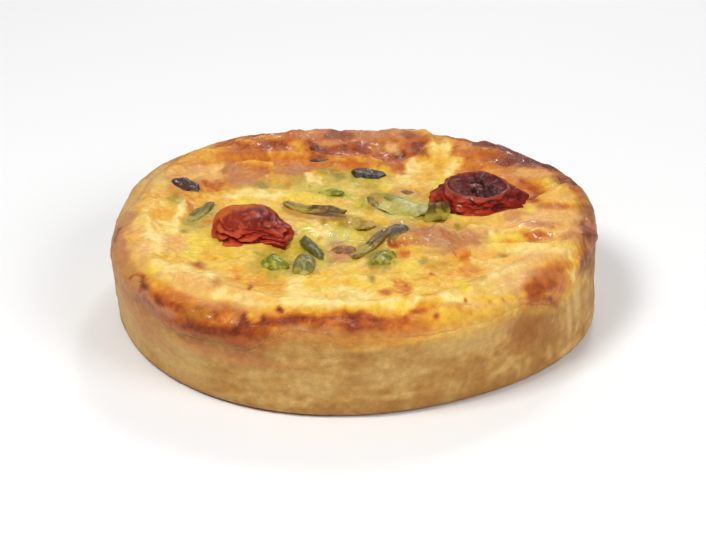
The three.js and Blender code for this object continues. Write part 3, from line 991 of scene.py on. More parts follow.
# %% Browned patches in the middle, round the toppings
MIDDLE_PATCHES = [
    (4.5, 19.5, 2.4, 2, 0, "mustard", 0.7),
    (9.5, 12.5, 5, 2, -54, "olive", 0.9),
    (9.8, 4.5, 6, 2.2, -72, "sage", 0.8),
    (16, 6, 6, 3.6, 10, "sage", 0.8),
    (18.6, 2, 2, 5, 0, "olive", 0.7),
    (21, -1, 3, 2, 0, "olive", 0.8),
    (6, 10, 2, 5, 0, "mustard", 0.8),
    (0.6, -3.4, 5.5, 3.2, -40, "mustard", 0.8),
    (-7, -2, 1.2, 2.6, 0, "mustard", 0.9),
    (-14, 2, 4.6, 1.2, -35, "mustard", 0.8),
    (-5, 3, 3, 2.4, 0, "rose", 0.5),
    (-5, 16, 4.4, 3, -25, "leek", 0.8),
    # A painted highlight.
    (-8, -9, 1.6, 5, 10, "cream", 0.8),
    (-3, -14, 3, 6, 0, "sage", 0.5),
    (6, -13, 6.5, 2.4, 58, "mustard", 0.7),
    (-2.5, -21, 2.8, 5, 10, "mauve", 0.8),
    (-5, -26.5, 2.2, 1.8, 0, "mustard", 0.8),
    (-13, -26, 6, 7, 0, "leek", 0.6),
    (-19, -27, 4.4, 8, 0, "olive", 0.5),
    (6.4, -25, 3.6, 7, 0, "olive", 0.6),
    (16.6, -9, 3, 2.4, 0, "mauve", 0.8),
    (23.5, -12.5, 5.6, 1.8, -65, "mauve", 1),
    (29, -13, 1.6, 5, 0, "mauve", 0.7),
    (14.6, -17, 3, 5, 0, "orange", 0.6),
    (19, -17, 3, 3, 0, "rose", 0.5),
    (11, -22, 1.4, 4.4, 0, "gold", 0.8),
    (-26, 2, 4, 1.6, 0, "cream", 0.7),
]

# %% Browned patches at the front right
FRONT_RIGHT_PATCHES = [
    (1, -12, 4, 4, 0, "lemon", 0.5),
    (15, -3, 3.4, 2.6, 0, "olive", 0.4),
    # Painted shade in the crack at the foot of the mound.
    (9.4, -14.6, 0.6, 2.8, 8, "brown", 1),
    (19, -14, 9, 6, -10, "mauve", 0.5),
    (16, -18, 5, 3, 0, "ochre", 0.4),
    (11, -18, 1.4, 5.4, 0, "ochre", 0.9),
    (13.6, -13, 1.6, 2.2, 0, "honey", 0.8),
    (17, -10, 2.4, 3, 0, "blush", 0.4),
    (24, -12, 1.4, 5.4, 25, "blush", 0.8),
    (29, -14.5, 3, 4, 0, "blush", 0.6),
    (27.6, -12, 0.6, 1.6, 0, "toast", 0.8),
    (20, -13, 11, 5, -10, "tan", 0.35),
    (33, -12, 1.2, 3, 20, "tan", 0.6),
    (16, -19.4, 5, 1.2, 0, "lemon", 0.5),
    # A painted highlight on the fold.
    (34, -11.6, 0.8, 2.2, 0, "cream", 0.9),
    (29, -5, 5, 2.4, 0, "gold", 0.6),
    (25.8, -6, 0.7, 1.6, 0, "olive", 0.9),
    (38, -15, 4.4, 3.6, 0, "lemon", 1),
    (38, -15.6, 3.4, 2.2, 0, "gold", 0.8),
    (45, -12, 2.6, 4, 10, "orange", 0.95),
    (46.4, -10.4, 1.6, 1.6, 0, "ochre", 0.7),
    (47.4, -4, 3.8, 1.8, 5, "rose", 0.8),
    (49.4, -6, 0.8, 1, 0, "brown", 0.8),
    (53.6, -12, 3, 4, 0, "blush", 0.6),
    (58, -8, 2.6, 9, 0, "mauve", 0.9),
    (58.6, -8, 2, 9, 0, "plum", 0.8),
    (60, -1, 1.8, 7, 0, "mauve", 0.8),
    (55.6, -19, 0.9, 6, -5, "brown", 0.7),
    (56, -28, 1.1, 8, -5, "plum", 0.75),
    (51.8, -30, 0.9, 9, -3, "cream", 0.8),
    (53.4, -24, 0.8, 8, -3, "honey", 0.7),
    (47.4, -30, 3.6, 4.4, -20, "orange", 0.85),
    (44.6, -39, 4.4, 8.4, -8, "rose", 0.9),
    (44.2, -40, 3.2, 6.4, -8, "toast", 0.8),
    (44, -41, 2, 4.4, 0, "umber", 0.5),
    (44, -48, 3, 3.4, 0, "brown", 0.6),
    (47, -33, 2.4, 4, -10, "toast", 0.4),
    (42.6, -51.5, 2.6, 2, 0, "rose", 0.6),
    (46, -51, 1, 3, 20, "brown", 0.6),
    (49.6, -40, 1.2, 7, 0, "honey", 0.7),
    (40.6, -48.6, 1.8, 3, 0, "toast", 0.7),
    (34.6, -30.6, 4.4, 5, 0, "cream", 0.5),
    (43, -20.6, 9, 2.6, 2, "cream", 0.5),
    (44, -25, 6, 2.4, 20, "peach", 0.5),
    (36, -37, 4, 5, -20, "peach", 0.4),
    (37.4, -24, 1.6, 2.2, 0, "gold", 0.7),
    (35.8, -23, 1, 1.4, 0, "olive", 0.8),
    (27.8, -24.6, 1.8, 3.4, 0, "ochre", 0.95),
    (28.4, -31, 2.8, 2.4, 0, "orange", 0.8),
    (25, -22, 0.4, 2, 0, "brown", 0.6),
    (16.6, -27, 1.1, 2, 0, "olive", 0.8),
    (12, -29, 3, 3, 0, "lemon", 0.7),
    (20.4, -29, 2.6, 2.6, 0, "olive", 0.35),
    (24, -33, 2.4, 2, 0, "gold", 0.7),
    (17, -36, 2.3, 2, 0, "gold", 0.9),
    (18.6, -34, 0.6, 1, 0, "toast", 1),
    (26, -41, 1.9, 3, 10, "lemon", 1),
    (11, -41.6, 2.4, 5, 0, "orange", 0.95),
    (7.4, -44, 1.5, 1.9, 0, "toast", 0.85),
    (4.8, -36.4, 0.7, 1.6, 0, "olive", 0.9),
    (24, -46.6, 2.2, 2.4, 0, "cream", 0.7),
    (26.5, -48, 0.4, 1.2, 0, "brown", 0.7),
    (35, -48, 0.5, 2.2, 10, "brown", 0.6),
    (32, -50.6, 6, 1.4, 14, "peach", 0.7),
    (22, -50.6, 5, 1.2, 6, "rose", 0.5),
    (17.4, -50, 3, 4, 0, "orange", 0.8),
    (14.4, -53.6, 1.7, 1.5, 0, "toast", 0.95),
    (13, -57, 1.1, 3.4, 0, "toast", 0.6),
    (19.4, -56, 0.5, 1.4, 0, "brown", 0.8),
    (8, -54.6, 4, 2.4, 0, "honey", 0.8),
    (24, -53, 2.4, 2, 0, "ochre", 0.6),
]

# %% Browned patches at the back left
BACK_LEFT_PATCHES = [
    (-52, 12.6, 1.8, 5, -10, "ochre", 0.5),
    (-50, 4, 5, 6, 0, "honey", 0.6),
    (-43.4, 4, 1.5, 6.4, 0, "cream", 0.9),
    (-41.4, 8, 1.1, 6.4, -3, "ochre", 0.9),
    (-45.4, 11, 2, 3.4, 0, "olive", 0.6),
    (-37, 15.4, 2.6, 5.6, 0, "gold", 0.95),
    (-36.6, 22, 3.2, 5, 0, "orange", 0.85),
    (-36.4, 28, 3, 3, 0, "peach", 0.9),
    (-35.5, 32.4, 2, 3.6, 0, "cream", 0.95),
    (-37, 36, 3, 3, 0, "honey", 0.8),
    (-42, 28, 1.6, 4, -40, "cream", 0.7),
    (-47, 32, 3, 4, 0, "honey", 0.7),
    (-47, 38, 2, 2.4, 0, "toast", 0.6),
    (-42, 42, 4, 6, 0, "orange", 0.6),
    (-36, 51, 7, 5, -10, "orange", 0.85),
    (-30, 52, 6, 4, 0, "toast", 0.6),
    (-24, 49, 5, 6, 0, "toast", 0.8),
    (-24.6, 47, 1, 1.8, 0, "brown", 0.8),
    (-30, 44, 6, 2.2, 0, "blush", 0.85),
    (-24, 56, 5.4, 2, 0, "ochre", 0.9),
    (-16, 56.6, 4, 4.4, 0, "blush", 0.8),
    (-15.8, 47, 1.4, 4.4, 0, "honey", 0.9),
    (-20, 43.6, 3, 3.4, 0, "orange", 0.9),
    (-28.4, 38, 2.8, 3, 0, "orange", 0.9),
    (-28.4, 30, 4, 5.6, 0, "rose", 0.8),
    (-27.6, 31, 2.2, 3.4, 0, "orange", 0.5),
    (-22, 36, 6, 4, 0, "orange", 0.6),
    (-40, 31, 6, 5, 0, "peach", 0.6),
    (-24, 31.6, 2, 5.4, 0, "ochre", 0.7),
    (-14.4, 33, 4.6, 4.4, 0, "rose", 0.9),
    (-15.4, 21.6, 1.2, 3, 0, "toast", 0.5),
    (-23, 21, 1.6, 2.8, 0, "olive", 0.8),
    (-19, 26, 3, 3, 0, "honey", 0.7),
    (-5, 31, 3.4, 3.6, 0, "olive", 0.6),
    (-3, 26.8, 1.6, 2.2, 0, "olive", 0.9),
    (-10, 26, 1.6, 4, 20, "cream", 0.8),
    (-25, 15.6, 10, 2.6, 0, "cream", 0.8),
    (-12, 12.6, 4, 4, 0, "lemon", 0.8),
    (-3.6, 10, 3, 1.7, 0, "gold", 0.8),
]

# %% Browned patches on the blister at the back
BLISTER_PATCHES = [
    (4, 50, 18, 12, 0, "ochre", 0.85),
    (6, 58, 12, 5, 0, "rose", 0.8),
    (-9, 57, 6, 5, 0, "rose", 0.8),
    (-3, 57, 3, 6, 0, "mauve", 0.8),
    (-4, 58, 3, 5, 0, "plum", 0.7),
    (-3, 62.4, 3.4, 1.4, 10, "char", 0.9),
    (-11, 47, 2.6, 6, 0, "brown", 0.8),
    (-8, 43.6, 3.4, 3, 0, "umber", 0.9),
    (2, 46.6, 7, 5.6, 0, "toast", 0.85),
    (0, 46, 4, 4, 0, "umber", 0.6),
    (4, 41.6, 7, 1.6, 0, "toast", 0.7),
    (-6, 53, 4, 2, 0, "blush", 0.7),
    (6.6, 49, 2, 4, 0, "amber", 0.8),
    # Painted glints on the blister.
    (-7, 51, 2.6, 2.4, 0, "peach", 0.5),
    (-1, 49, 2.4, 3, 0, "umber", 0.6),
    (18, 51, 3.4, 8, -8, "blush", 0.9),
    (18.4, 47, 2, 4, -8, "plum", 0.8),
    (16, 58, 2, 4, 0, "plum", 0.5),
    (11, 36, 4, 4.6, 0, "blush", 0.85),
    (12.4, 43, 1.6, 3, 0, "brown", 0.7),
    # Painted highlights on the blister.
    (10.8, 47.6, 1.8, 4.4, 0, "peach", 0.9),
    (22.4, 47.6, 1.2, 5, 0, "toast", 0.9),
]

# %% Browned patches at the back right, where it charred
BACK_RIGHT_PATCHES = [
    (24, 40, 3.8, 12, -4, "custard", 0.95),
    (22.6, 38, 2, 8, -4, "lemon", 0.6),
    (25.4, 55, 3.4, 3.4, 0, "amber", 0.6),
    (26, 50, 1.8, 6, 0, "cream", 0.7),
    (28.6, 53, 2.8, 3.4, 0, "ochre", 0.7),
    (18, 34, 3, 6.4, -8, "cream", 1),
    (22.6, 36, 1.8, 7, -10, "gold", 0.95),
    (18, 27, 3.4, 3.4, 0, "gold", 0.9),
    (25.4, 30, 0.9, 5.4, -10, "cream", 0.8),
    (31.4, 44, 3.2, 4, 0, "orange", 0.9),
    (33, 48.6, 3, 2.4, 0, "peach", 0.7),
    (34, 38, 4, 3, 0, "orange", 0.5),
    (43, 43, 11, 7.4, -35, "blush", 0.8),
    (44, 45, 11, 6, -35, "plum", 0.95),
    (47, 43, 12, 3.4, -40, "brown", 0.85),
    (51, 38, 12, 2.4, -44, "char", 0.8),
    (38, 52, 6, 3, -20, "plum", 0.8),
    (40, 47, 4.4, 4.6, 0, "plum", 0.8),
    (46, 42, 2.8, 5.6, 15, "plum", 1),
    (46.6, 43, 1.6, 4, 20, "brown", 0.6),
    (42, 38, 5, 5, 0, "plum", 0.8),
    (36, 44, 5, 4, -20, "toast", 0.8),
    (47.4, 35.6, 3, 3.6, 0, "plum", 0.7),
    (49.6, 40, 1, 3, 10, "char", 0.9),
    (52.6, 33, 1.8, 2.6, 30, "char", 0.7),
    (58.4, 26, 0.9, 4.6, 15, "char", 0.85),
    (47, 29, 4, 2.4, 0, "peach", 0.8),
    (55, 24, 2.6, 5, 15, "plum", 0.6),
    (44.4, 22, 2.6, 4, 0, "ochre", 0.9),
    (48.4, 16.6, 2.8, 5, 5, "orange", 0.95),
    (57.4, 20, 1.4, 4.4, 0, "toast", 0.7),
    (60.4, 6, 1.3, 10, 0, "plum", 0.6),
    (53.4, 13, 3.4, 2, 10, "peach", 0.8),
    (52, 7, 5, 2, 8, "toast", 0.8),
    (44, 3, 3, 1.4, 30, "tan", 0.7),
    (40, 0.6, 1.6, 3, 0, "mauve", 0.6),
    (50, 2.6, 4, 1.8, 5, "peach", 0.7),
    (44.6, 5.4, 1.3, 2.4, 0, "lemon", 0.9),
    # Painted shadow in the hollow beside the right tomato.
    (46, 11, 1.6, 1.4, 0, "brown", 0.95),
]
SEEN_PATCHES = [
    *BROAD_PATCHES,
    *LEFT_PATCHES,
    *RUN_PATCHES,
    *MIDDLE_PATCHES,
    *FRONT_RIGHT_PATCHES,
    *BACK_LEFT_PATCHES,
    *BLISTER_PATCHES,
    *BACK_RIGHT_PATCHES,
]
print("browned patches as seen:", len(SEEN_PATCHES))

# %% Browned patches all round the rim
# Angle, mm past the crest, half width in degrees, half height in mm, colour, strength.
RIM_PATCHES = [
    (236, 3.6, 27, 5.4, "toast", 0.9),
    (240, 7.4, 22, 2.6, "blush", 0.95),
    (240, 7.6, 20, 1.8, "plum", 0.5),
    (217, 5.4, 13, 3.4, "mauve", 0.95),
    (214, 2, 8, 2.6, "rose", 0.7),
    (199, 1, 12, 2.6, "mauve", 0.8),
    (270, -0.6, 17, 3.6, "toast", 0.7),
    (350, 2, 9, 4.4, "plum", 0.7),
    (0, 2, 22, 4, "mauve", 0.8),
    (4, 1, 18, 4, "plum", 0.7),
    (24, 0, 12, 4, "toast", 0.85),
    (41, 0, 12, 5.5, "brown", 0.85),
    (54, 0, 8, 4, "plum", 0.8),
    (27, 0.6, 9, 3, "char", 0.8),
    (34, -1, 6, 2.4, "char", 0.7),
    (66, 0, 16, 5, "orange", 0.85),
    (80, 1, 18, 5, "toast", 0.9),
    (97, 0.4, 12, 5, "toast", 0.9),
    (112, -1, 18, 5.4, "toast", 0.9),
    (132, -1, 16, 4, "rose", 0.8),
    (160, 1.5, 26, 3.4, "pale_pastry", 0.8),
    (172, -2.4, 12, 2.4, "rose", 0.6),
]
print("browned patches on the rim:", len(RIM_PATCHES))


# %% Laying one patch over another
def broken(q, ragged, small=0):
    """Strength of a patch with a broken outline, the softer the smaller it is."""
    return smooth(1.45 + 0.5 * small, 0.7 - 0.6 * small, q + ragged)


def wander(places):
    """A sideways shift that makes the outline of every patch irregular."""
    wide = [cloud(places, 8, seed, 2) for seed in (48, 49)]
    small = [cloud(places, 2.6, seed, 2) for seed in (50, 51)]
    return 2.6 * np.column_stack(wide) + 1.1 * np.column_stack(small)


class Baking:
    """Heat and hue at each vertex, built up patch by patch, each laid over what is there."""

    def __init__(self, count):
        self.heat = np.zeros(count)
        self.hue = np.zeros((count, 3))
        self.hued = np.zeros(count)

    def add(self, name, weight):
        if name in HEAT:
            self.heat = mix(self.heat, HEAT[name], weight)
            self.hued = self.hued * (1 - weight)
            return
        self.hued = mix(self.hued, 1, weight)
        self.hue = tinted(self.hue, HUES[name], weight / np.maximum(self.hued, 1e-6))

    def colour(self, more_heat):
        return tinted(heat_colour(np.clip(self.heat + more_heat, 0, 1)), self.hue, self.hued)


# %% Colour and gloss of the custard
# How far the stain round a topping reaches past it on both sides together, in mm.
STAIN_WIDTH = 3.4


def custard_colour(places, normals, past, lifted=0):
    """The colour at each place, with painted light where the relief lifted it and painted shade in hollows.
    """
    heaps = cloud(places, 8, 41, 3)
    curds = cloud(places, 3, 42, 3)
    fine = cloud(places, 1.2, 43, 2)
    ragged = 0.3 * curds + 0.12 * fine + 0.1 * heaps

    # Pale custard with a lemon tinge here and there, stained round the toppings and honey at the rim.
    baked = Baking(len(places))
    baked.heat = 0.15 + 0.14 * heaps + 0.12 * cloud(places, 5, 44, 3)
    baked.add("lemon", 0.7 * smooth(0.02, 0.35, cloud(places, 6, 45, 3)))
    for _, x, y, size, turn, _, _, stain in TOPPINGS.values():
        q = share_out(places, x, y, size[0] + STAIN_WIDTH, size[1] + STAIN_WIDTH, turn)
        baked.add(stain, 0.6 * broken(q, ragged))
    baked.add("honey", 0.5 * smooth(-5, -1, past + 2 * heaps))

    angle = angle_of(places)
    for towards, d, wide, high, name, strength in RIM_PATCHES:
        q = np.hypot(turn_from(angle, towards) / wide, (past - d) / high)
        baked.add(name, strength * broken(q, ragged))
    seen = seen_places(places)
    shift = wander(places)
    shown = faces_eye(places, normals)
    for x, y, long, wide, turn, name, strength in SEEN_PATCHES:
        q = share_out(seen + min(1, wide / 4) * shift, x, y, 2 * long, 2 * wide, turn)
        baked.add(name, strength * shown * broken(q, ragged, smooth(3.4, 1.4, wide)))

    # Hotter places brown more unevenly. The thin edge takes half of the pastry's colour.
    uneven = (0.1 * curds + 0.05 * fine) * (1 + 0.9 * baked.heat)
    # Raised places lose heat and hollows gain it: painted light on the ridges and painted shade in the
    # hollows.
    colour = baked.colour(uneven - 0.13 * np.clip(lifted, -1.2, 1.2))
    colour = tinted(colour, colour * 0.9, smooth(0.1, 0.5, fine))
    edge = smooth(2.4, 0, far_edge(angle) - past + 0.6 * curds)
    return tinted(colour, wall_colour(places), 0.5 * edge)


# Where fat and juice lie on the skin and glint, as seen: x, y, radius.
WET = [
    (4, 48, 16),
    (-22, 52, 10),
    (-8, -6, 10),
    (14, -14, 13),
    (44, 44, 12),
    (46, -8, 10),
    (20, 6, 8),
    (-30, -54, 8),
]


def wetness(places):
    seen = seen_places(places)
    near = [hump(np.hypot(seen[:, 0] - x, seen[:, 1] - y) / radius) for x, y, radius in WET]
    return np.clip(sum(near), 0, 1)


places = places_of(custard.data)
colour = custard_colour(places, normals_of(custard.data), past, push - push.mean())
paint(custard.data, "tint", colour)
dark = 1 - colour.max(axis=1)
moist = smooth(0.1, 0.34, cloud(places, 1.8, 46, 3)) * wetness(places)
paint(custard.data, "gloss", np.clip(0.2 + 0.3 * dark + 0.8 * moist, 0.1, 1))
print("custard vertices painted:", len(colour))

# %% [markdown]
# The pastry next to the custard's edge took some of its colour, so both meshes have the same colour where
# they meet and the edge hardly shows.

# %% Paint the pastry
places = places_of(case.data)
normals = normals_of(case.data)
past = past_crest(places)
beyond = past - far_edge(angle_of(places))
near = (np.abs(beyond) < 5) & (places[:, 2] > 8)
colour = wall_colour(places)
stained = custard_colour(places[near], normals[near], past[near])
colour[near] = tinted(colour[near], stained, smooth(4.2, 0, beyond[near]))
paint(case.data, "tint", colour)
print("pastry vertices near the custard's edge:", int(near.sum()))

# %% [markdown]
# ## The toppings
#
# Every vegetable piece starts as a cube or a grid that is subdivided and then pushed into its shape. A
# chunk is a cube pushed towards a pebble and cut by a few flat faces, as by a knife. A block is a squarer
# one and a stick a long narrow one. A strip is a grid that is bent, rippled and then given a thickness.


# %% Builders for vegetable pieces
CUTS = 9
CUT_DEPTH = 0.74
CUT_SHARPNESS = 22


def cut_faces(n, seed):
    """How far a pebble of radius 1 reaches in each direction once a knife has cut some of it away."""
    cuts = np.random.default_rng(seed).normal(size=(CUTS, 3))
    cuts /= np.linalg.norm(cuts, axis=1)[:, None]
    along = np.maximum(n @ cuts.T, 0) / CUT_DEPTH
    return (1 + (along**CUT_SHARPNESS).sum(axis=1)) ** (-1 / CUT_SHARPNESS)


def chunk(long, wide, tall, squareness, bend, seed):
    """A cut piece of vegetable: 2 is the squareness of a pebble, and more is squarer."""
    bm = bmesh.new()
    bmesh.ops.create_cube(bm, size=2)
    bmesh.ops.subdivide_edges(bm, edges=bm.edges[:], cuts=20, use_grid_fill=True)
    n = bm_places(bm)
    n /= ((np.abs(n) ** squareness).sum(axis=1) ** (1 / squareness))[:, None]
    n *= 1.17 * cut_faces(n / np.linalg.norm(n, axis=1)[:, None], seed)[:, None]
    x, y, z = n.T
    placed = np.column_stack((x * long / 2, y * wide / 2 + bend * x * x, z * tall / 2))
    # Shallow dents of three sizes, and a top that slopes off towards the edge.
    dents = 0.3 * cloud(placed, 4, seed + 52, 2) - 0.2 * np.abs(cloud(placed, 2.6, seed + 51, 2))
    placed += n * (dents + 0.14 * cloud(placed, 1.2, seed + 50, 2) + 0.1)[:, None]
    placed[:, 2] = np.where(z > 0, placed[:, 2] * (1 - 0.12 * np.hypot(x, y) ** 2), placed[:, 2])
    set_bm_places(bm, placed)
    return bm


def strip(long, wide, tall, bend, ripple, seed):
    """A thin leaf or strip, bent sideways and rippled up and down, in mm."""
    bm = bmesh.new()
    bmesh.ops.create_grid(bm, x_segments=72, y_segments=22, size=1)
    share, across, _ = bm_places(bm).T
    # It narrows to its ends, with veins along it, curled edges and a ragged outline.
    narrow = 1 - 0.3 * share**4
    y = across * wide / 2 * narrow
    veins = 0.09 * np.cos(across * 9) * (1 - across**2)
    curl = 0.35 * across**2 * np.sin(3.1 * share + seed)
    z = ripple * np.sin(2.6 * share + 0.5 * y) + veins + curl
    placed = np.column_stack((share * long / 2, y + bend * share**2, z))
    placed[:, 2] += 0.2 * cloud(placed, 2.6, seed + 60, 3)
    placed[:, 1] += 0.12 * wide * cloud(placed, 3, seed + 61, 3) * np.abs(across)
    placed[:, 0] += 0.5 * cloud(placed, 2.2, seed + 62, 2) * np.abs(share) ** 3
    set_bm_places(bm, placed + (0, 0, tall / 2 - 0.3))
    bmesh.ops.recalc_face_normals(bm, faces=bm.faces[:])
    bmesh.ops.solidify(bm, geom=bm.faces[:], thickness=0.4 * tall)
    return bm


def seat_places(places, x, y, size, turn, sunk):
    """Turns a piece and lays it in the custard with the given share of its height sunk."""
    z = float(top_level(x, y)) + size[2] / 2 - size[2] * sunk
    c = math.cos(math.radians(turn))
    s = math.sin(math.radians(turn))
    return places @ np.array(((c, s, 0), (-s, c, 0), (0, 0, 1))) + (x, y, z)


def seated(bm, x, y, size, turn, sunk):
    set_bm_places(bm, seat_places(bm_places(bm), x, y, size, turn, sunk))
    return bm


# %% [markdown]
# Each vegetable is coloured by its own pair of colours, a cut or pale one and a skin or charred one, mixed
# by noise and by height, since the tops dried and darkened in the oven while the sides stayed moist. A film
# of custard clings to the sides.

# %% Colours of the vegetable pieces
# Name: low colour, high colour, streak colour, share of streaks, gloss.
LOOKS = {
    "charred_piece_left": ((108, 62, 28), (58, 34, 30), (88, 68, 64), 0.3, 0.8),
    "charred_piece_back": ((92, 58, 34), (48, 34, 34), (96, 88, 92), 0.3, 0.8),
    "charred_sliver_back": ((116, 80, 40), (82, 54, 38), (112, 92, 74), 0.3, 0.6),
    "leaf_strip_left": ((120, 108, 54), (110, 102, 58), (80, 62, 34), 0.35, 0.5),
    "leaf_strip_middle": ((136, 98, 46), (112, 82, 44), (60, 42, 26), 0.5, 0.5),
    "leaf_sliver_back": ((150, 148, 44), (116, 116, 40), (180, 164, 80), 0.3, 0.5),
    "leek_slice_middle": ((196, 168, 62), (164, 132, 46), (132, 102, 40), 0.3, 0.6),
    "bean_stick_front": ((128, 126, 34), (84, 78, 28), (124, 120, 84), 0.3, 0.7),
    "bean_block_front": ((140, 130, 66), (112, 106, 52), (162, 156, 106), 0.35, 0.6),
    "pepper_piece_front": ((160, 156, 28), (118, 118, 20), (190, 186, 74), 0.35, 0.75),
    "bean_strip_front": ((140, 112, 50), (104, 82, 38), (70, 54, 30), 0.35, 0.6),
    "bean_tip_front": ((124, 92, 54), (92, 80, 62), (136, 128, 116), 0.35, 0.6),
    "pepper_piece_right": ((150, 144, 28), (112, 108, 20), (180, 172, 70), 0.35, 0.75),
    "mushroom_piece_front": ((184, 138, 80), (140, 96, 58), (100, 66, 44), 0.35, 0.4),
    "leek_chunk_middle": ((160, 132, 52), (124, 102, 40), (172, 148, 74), 0.3, 0.6),
    "leek_wedge_middle": ((160, 156, 50), (130, 130, 44), (186, 180, 90), 0.3, 0.7),
    "leek_leaf_middle": ((146, 138, 52), (184, 178, 116), (142, 140, 70), 0.35, 0.6),
    "leek_end_right": ((120, 100, 30), (84, 62, 16), (112, 96, 34), 0.3, 0.6),
    "mushroom_sliver_back": ((176, 138, 72), (134, 100, 56), (110, 76, 44), 0.3, 0.4),
}
# The sideways bend and the ripple of each strip, in mm.
BENDS = {
    "leaf_strip_left": (0.5, 0.5),
    "leaf_strip_middle": (0.7, 0.5),
    "leaf_sliver_back": (0.3, 0.5),
    "leek_slice_middle": (0.4, 0.5),
    "bean_strip_front": (0.6, 0.5),
    "leek_leaf_middle": (0.9, 0.9),
    "leek_end_right": (0.6, 1.1),
}


# The squareness and the bend of each kind of cut piece.
CUT_KINDS = {"chunk": (2.8, 0), "block": (4, 0), "stick": (4, 0.4)}
# The share of its height that each piece sinks in beyond its solid, which rounds off the height of a chunk.
STRIP_SINK = 0.05
CHUNK_SINK = 0.16


def topping_colour(places, low, high, streak, streaked, seed):
    z = places[:, 2]
    up = (z - z.min()) / (z.max() - z.min())
    dried = smooth(0.25, 0.8, up + 0.35 * cloud(places, 2.4, seed))
    colour = tinted(linear(low), linear(high), dried)
    streaks = smooth(0.1, 0.4, cloud(places * (1, 1, 0.6), 1.6, seed + 1)) * streaked / 0.35
    colour = tinted(colour, linear(streak), 0.6 * streaks)
    film = smooth(0.7, 0.5, up + 0.3 * cloud(places, 1.8, seed + 3, 2))
    return tinted(colour, HUES["leek"], 0.45 * film)


def build_topping(name, seed):
    kind, x, y, size, turn, sunk, *_ = TOPPINGS[name]
    if kind == "strip":
        bm = strip(*size, *BENDS[name], seed)
        sunk += STRIP_SINK
    else:
        bm = chunk(*size, *CUT_KINDS[kind], seed)
        sunk += CHUNK_SINK
    piece = piece_from(seated(bm, x, y, size, turn, sunk), name + "_roasted")
    places = places_of(piece.data)
    *colours, gloss = LOOKS[name]
    paint(piece.data, "tint", topping_colour(places, *colours, seed + 70))
    paint(piece.data, "gloss", np.clip(gloss + 0.2 * cloud(places, 1.6, seed + 72, 2), 0, 1))
    return piece


SEEDS_APART = 3
vegetables = {name: build_topping(name, SEEDS_APART * k) for k, name in enumerate(LOOKS)}
print("vegetable pieces:", len(vegetables))

# %% [markdown]
# ## The left tomato half
#
# A cherry tomato half lay skin side up. Its top stayed a taut dome, and as it dried the skin below slipped
# down and crumpled into sharp folds that end in a small tail. The dome is a sphere pushed by functions of
# direction, and the folds are a noise whose absolute value gives sharp creases.

# %% Shape of the left tomato
# The share of the dome's height below its widest ring.
DOME_WAIST = 0.32


def creases(places, size, seed, octaves=2):
    """Sharp valleys between rounded folds: 0 in a valley and up to 1 on a fold."""
    return np.clip(2.2 * np.abs(cloud(places, size, seed, octaves)), 0, 1)


def dome_folds(n):
    """The folds of the slipped skin, as valleys and ridges."""
    return creases(n * (1, 1, 2.4), 0.62, 81, 3)


def dome_spread(n, front):
    """How far the dome reaches out in each direction: squarish in plan, with folds and an apron in front."""
    angle = angle_of(n)
    square = (np.abs(np.cos(angle)) ** 3 + np.abs(np.sin(angle)) ** 3) ** (-1 / 3)
    folds = 1 + 0.02 * np.sin(3 * angle + 1) - 0.04 * front + front * (0.17 * dome_folds(n) - 0.07)
    apron = 0.34 * hump((angle + 0.32) / 0.3464) + 0.42 * hump((angle + 0.8) / 0.1414)
    return (folds + apron * smooth(0.72, 0.35, n[:, 2])) * mix(1, square, 0.9)


def dome_level(n, front, tall):
    """The height of the dome, with a ledge where the skin slipped and dimples on top."""
    _, y, z = n.T
    half = np.where(z > 0, tall * (1 - DOME_WAIST), tall * DOME_WAIST)
    level = np.sign(z) * np.abs(z) ** 0.72 * half + tall * (DOME_WAIST - 0.5)
    level += 0.25 * front * cloud(n, 0.3, 83, 2)
    ledge = 0.35 * hump((z - 0.72) / 0.06) * smooth(0.3, -0.3, y)
    lines = 0.25 * creases(n * (1, 0.5, 1), 0.3, 88, 2) * smooth(0.1, 0.6, z)
    return level - ledge + (0.45 * cloud(n, 0.55, 84, 3) - lines) * z


def domed_tomato(long, wide, tall):
    """The tomato's bmesh, the direction of each vertex, and how far it lies in the folds in front."""
    bm = bmesh.new()
    bmesh.ops.create_uvsphere(bm, u_segments=220, v_segments=120, radius=1)
    n = bm_places(bm)
    x, y, z = n.T
    front = smooth(0.35, -0.45, y) * smooth(0.74, 0.5, z) * smooth(-0.7, -0.2, z)
    spread = dome_spread(n, front) / 2
    set_bm_places(bm, np.column_stack((x * spread * long, y * spread * wide, dome_level(n, front, tall))))
    return bm, n, front


# %% Colours of the left tomato
RED = {
    "dark": linear((104, 20, 8)),
    "deep": linear((134, 36, 11)),
    "bright": linear((158, 40, 16)),
    "pale": linear((190, 84, 50)),
    "orange": linear((190, 92, 30)),
    "peach": linear((214, 130, 70)),
}


def dome_colour(n, front):
    x, y, z = n.T
    soft = 0.25 * cloud(n, 0.5, 85, 3)
    colour = tinted(RED["deep"], RED["dark"], smooth(-0.2, 0.4, x + 1.6 * soft))
    # Pale specks across the dome are painted highlights, glints of light on the skin.
    glint_speck = smooth(0.12, 0.35, cloud(n * (1, 0.5, 1), 0.16, 87, 2))
    colour = tinted(colour, RED["pale"], 0.45 * glint_speck)
    colour = tinted(colour, RED["orange"], 0.85 * smooth(0, 0.45, y - 0.3 * x + soft))
    colour = tinted(colour, RED["orange"], 0.8 * smooth(0.55, 0.85, -x + soft))
    valley = 1 - dome_folds(n)
    # The fold valleys are painted dark as shade in the creases, and the fold tops pale as painted
    # highlights.
    skin = tinted(RED["bright"], RED["dark"], smooth(0.55, 0.95, valley))
    ridge_highlight = smooth(0.45, 0.1, valley) * smooth(-0.2, 0.3, soft + 0.1)
    skin = tinted(skin, RED["pale"], 0.8 * ridge_highlight)
    colour = tinted(colour, skin, smooth(0.1, 0.5, front))
    corner = smooth(0.2, 0.7, -x) * front * smooth(0.3, 0, z)
    return tinted(colour, RED["peach"], 0.6 * corner)


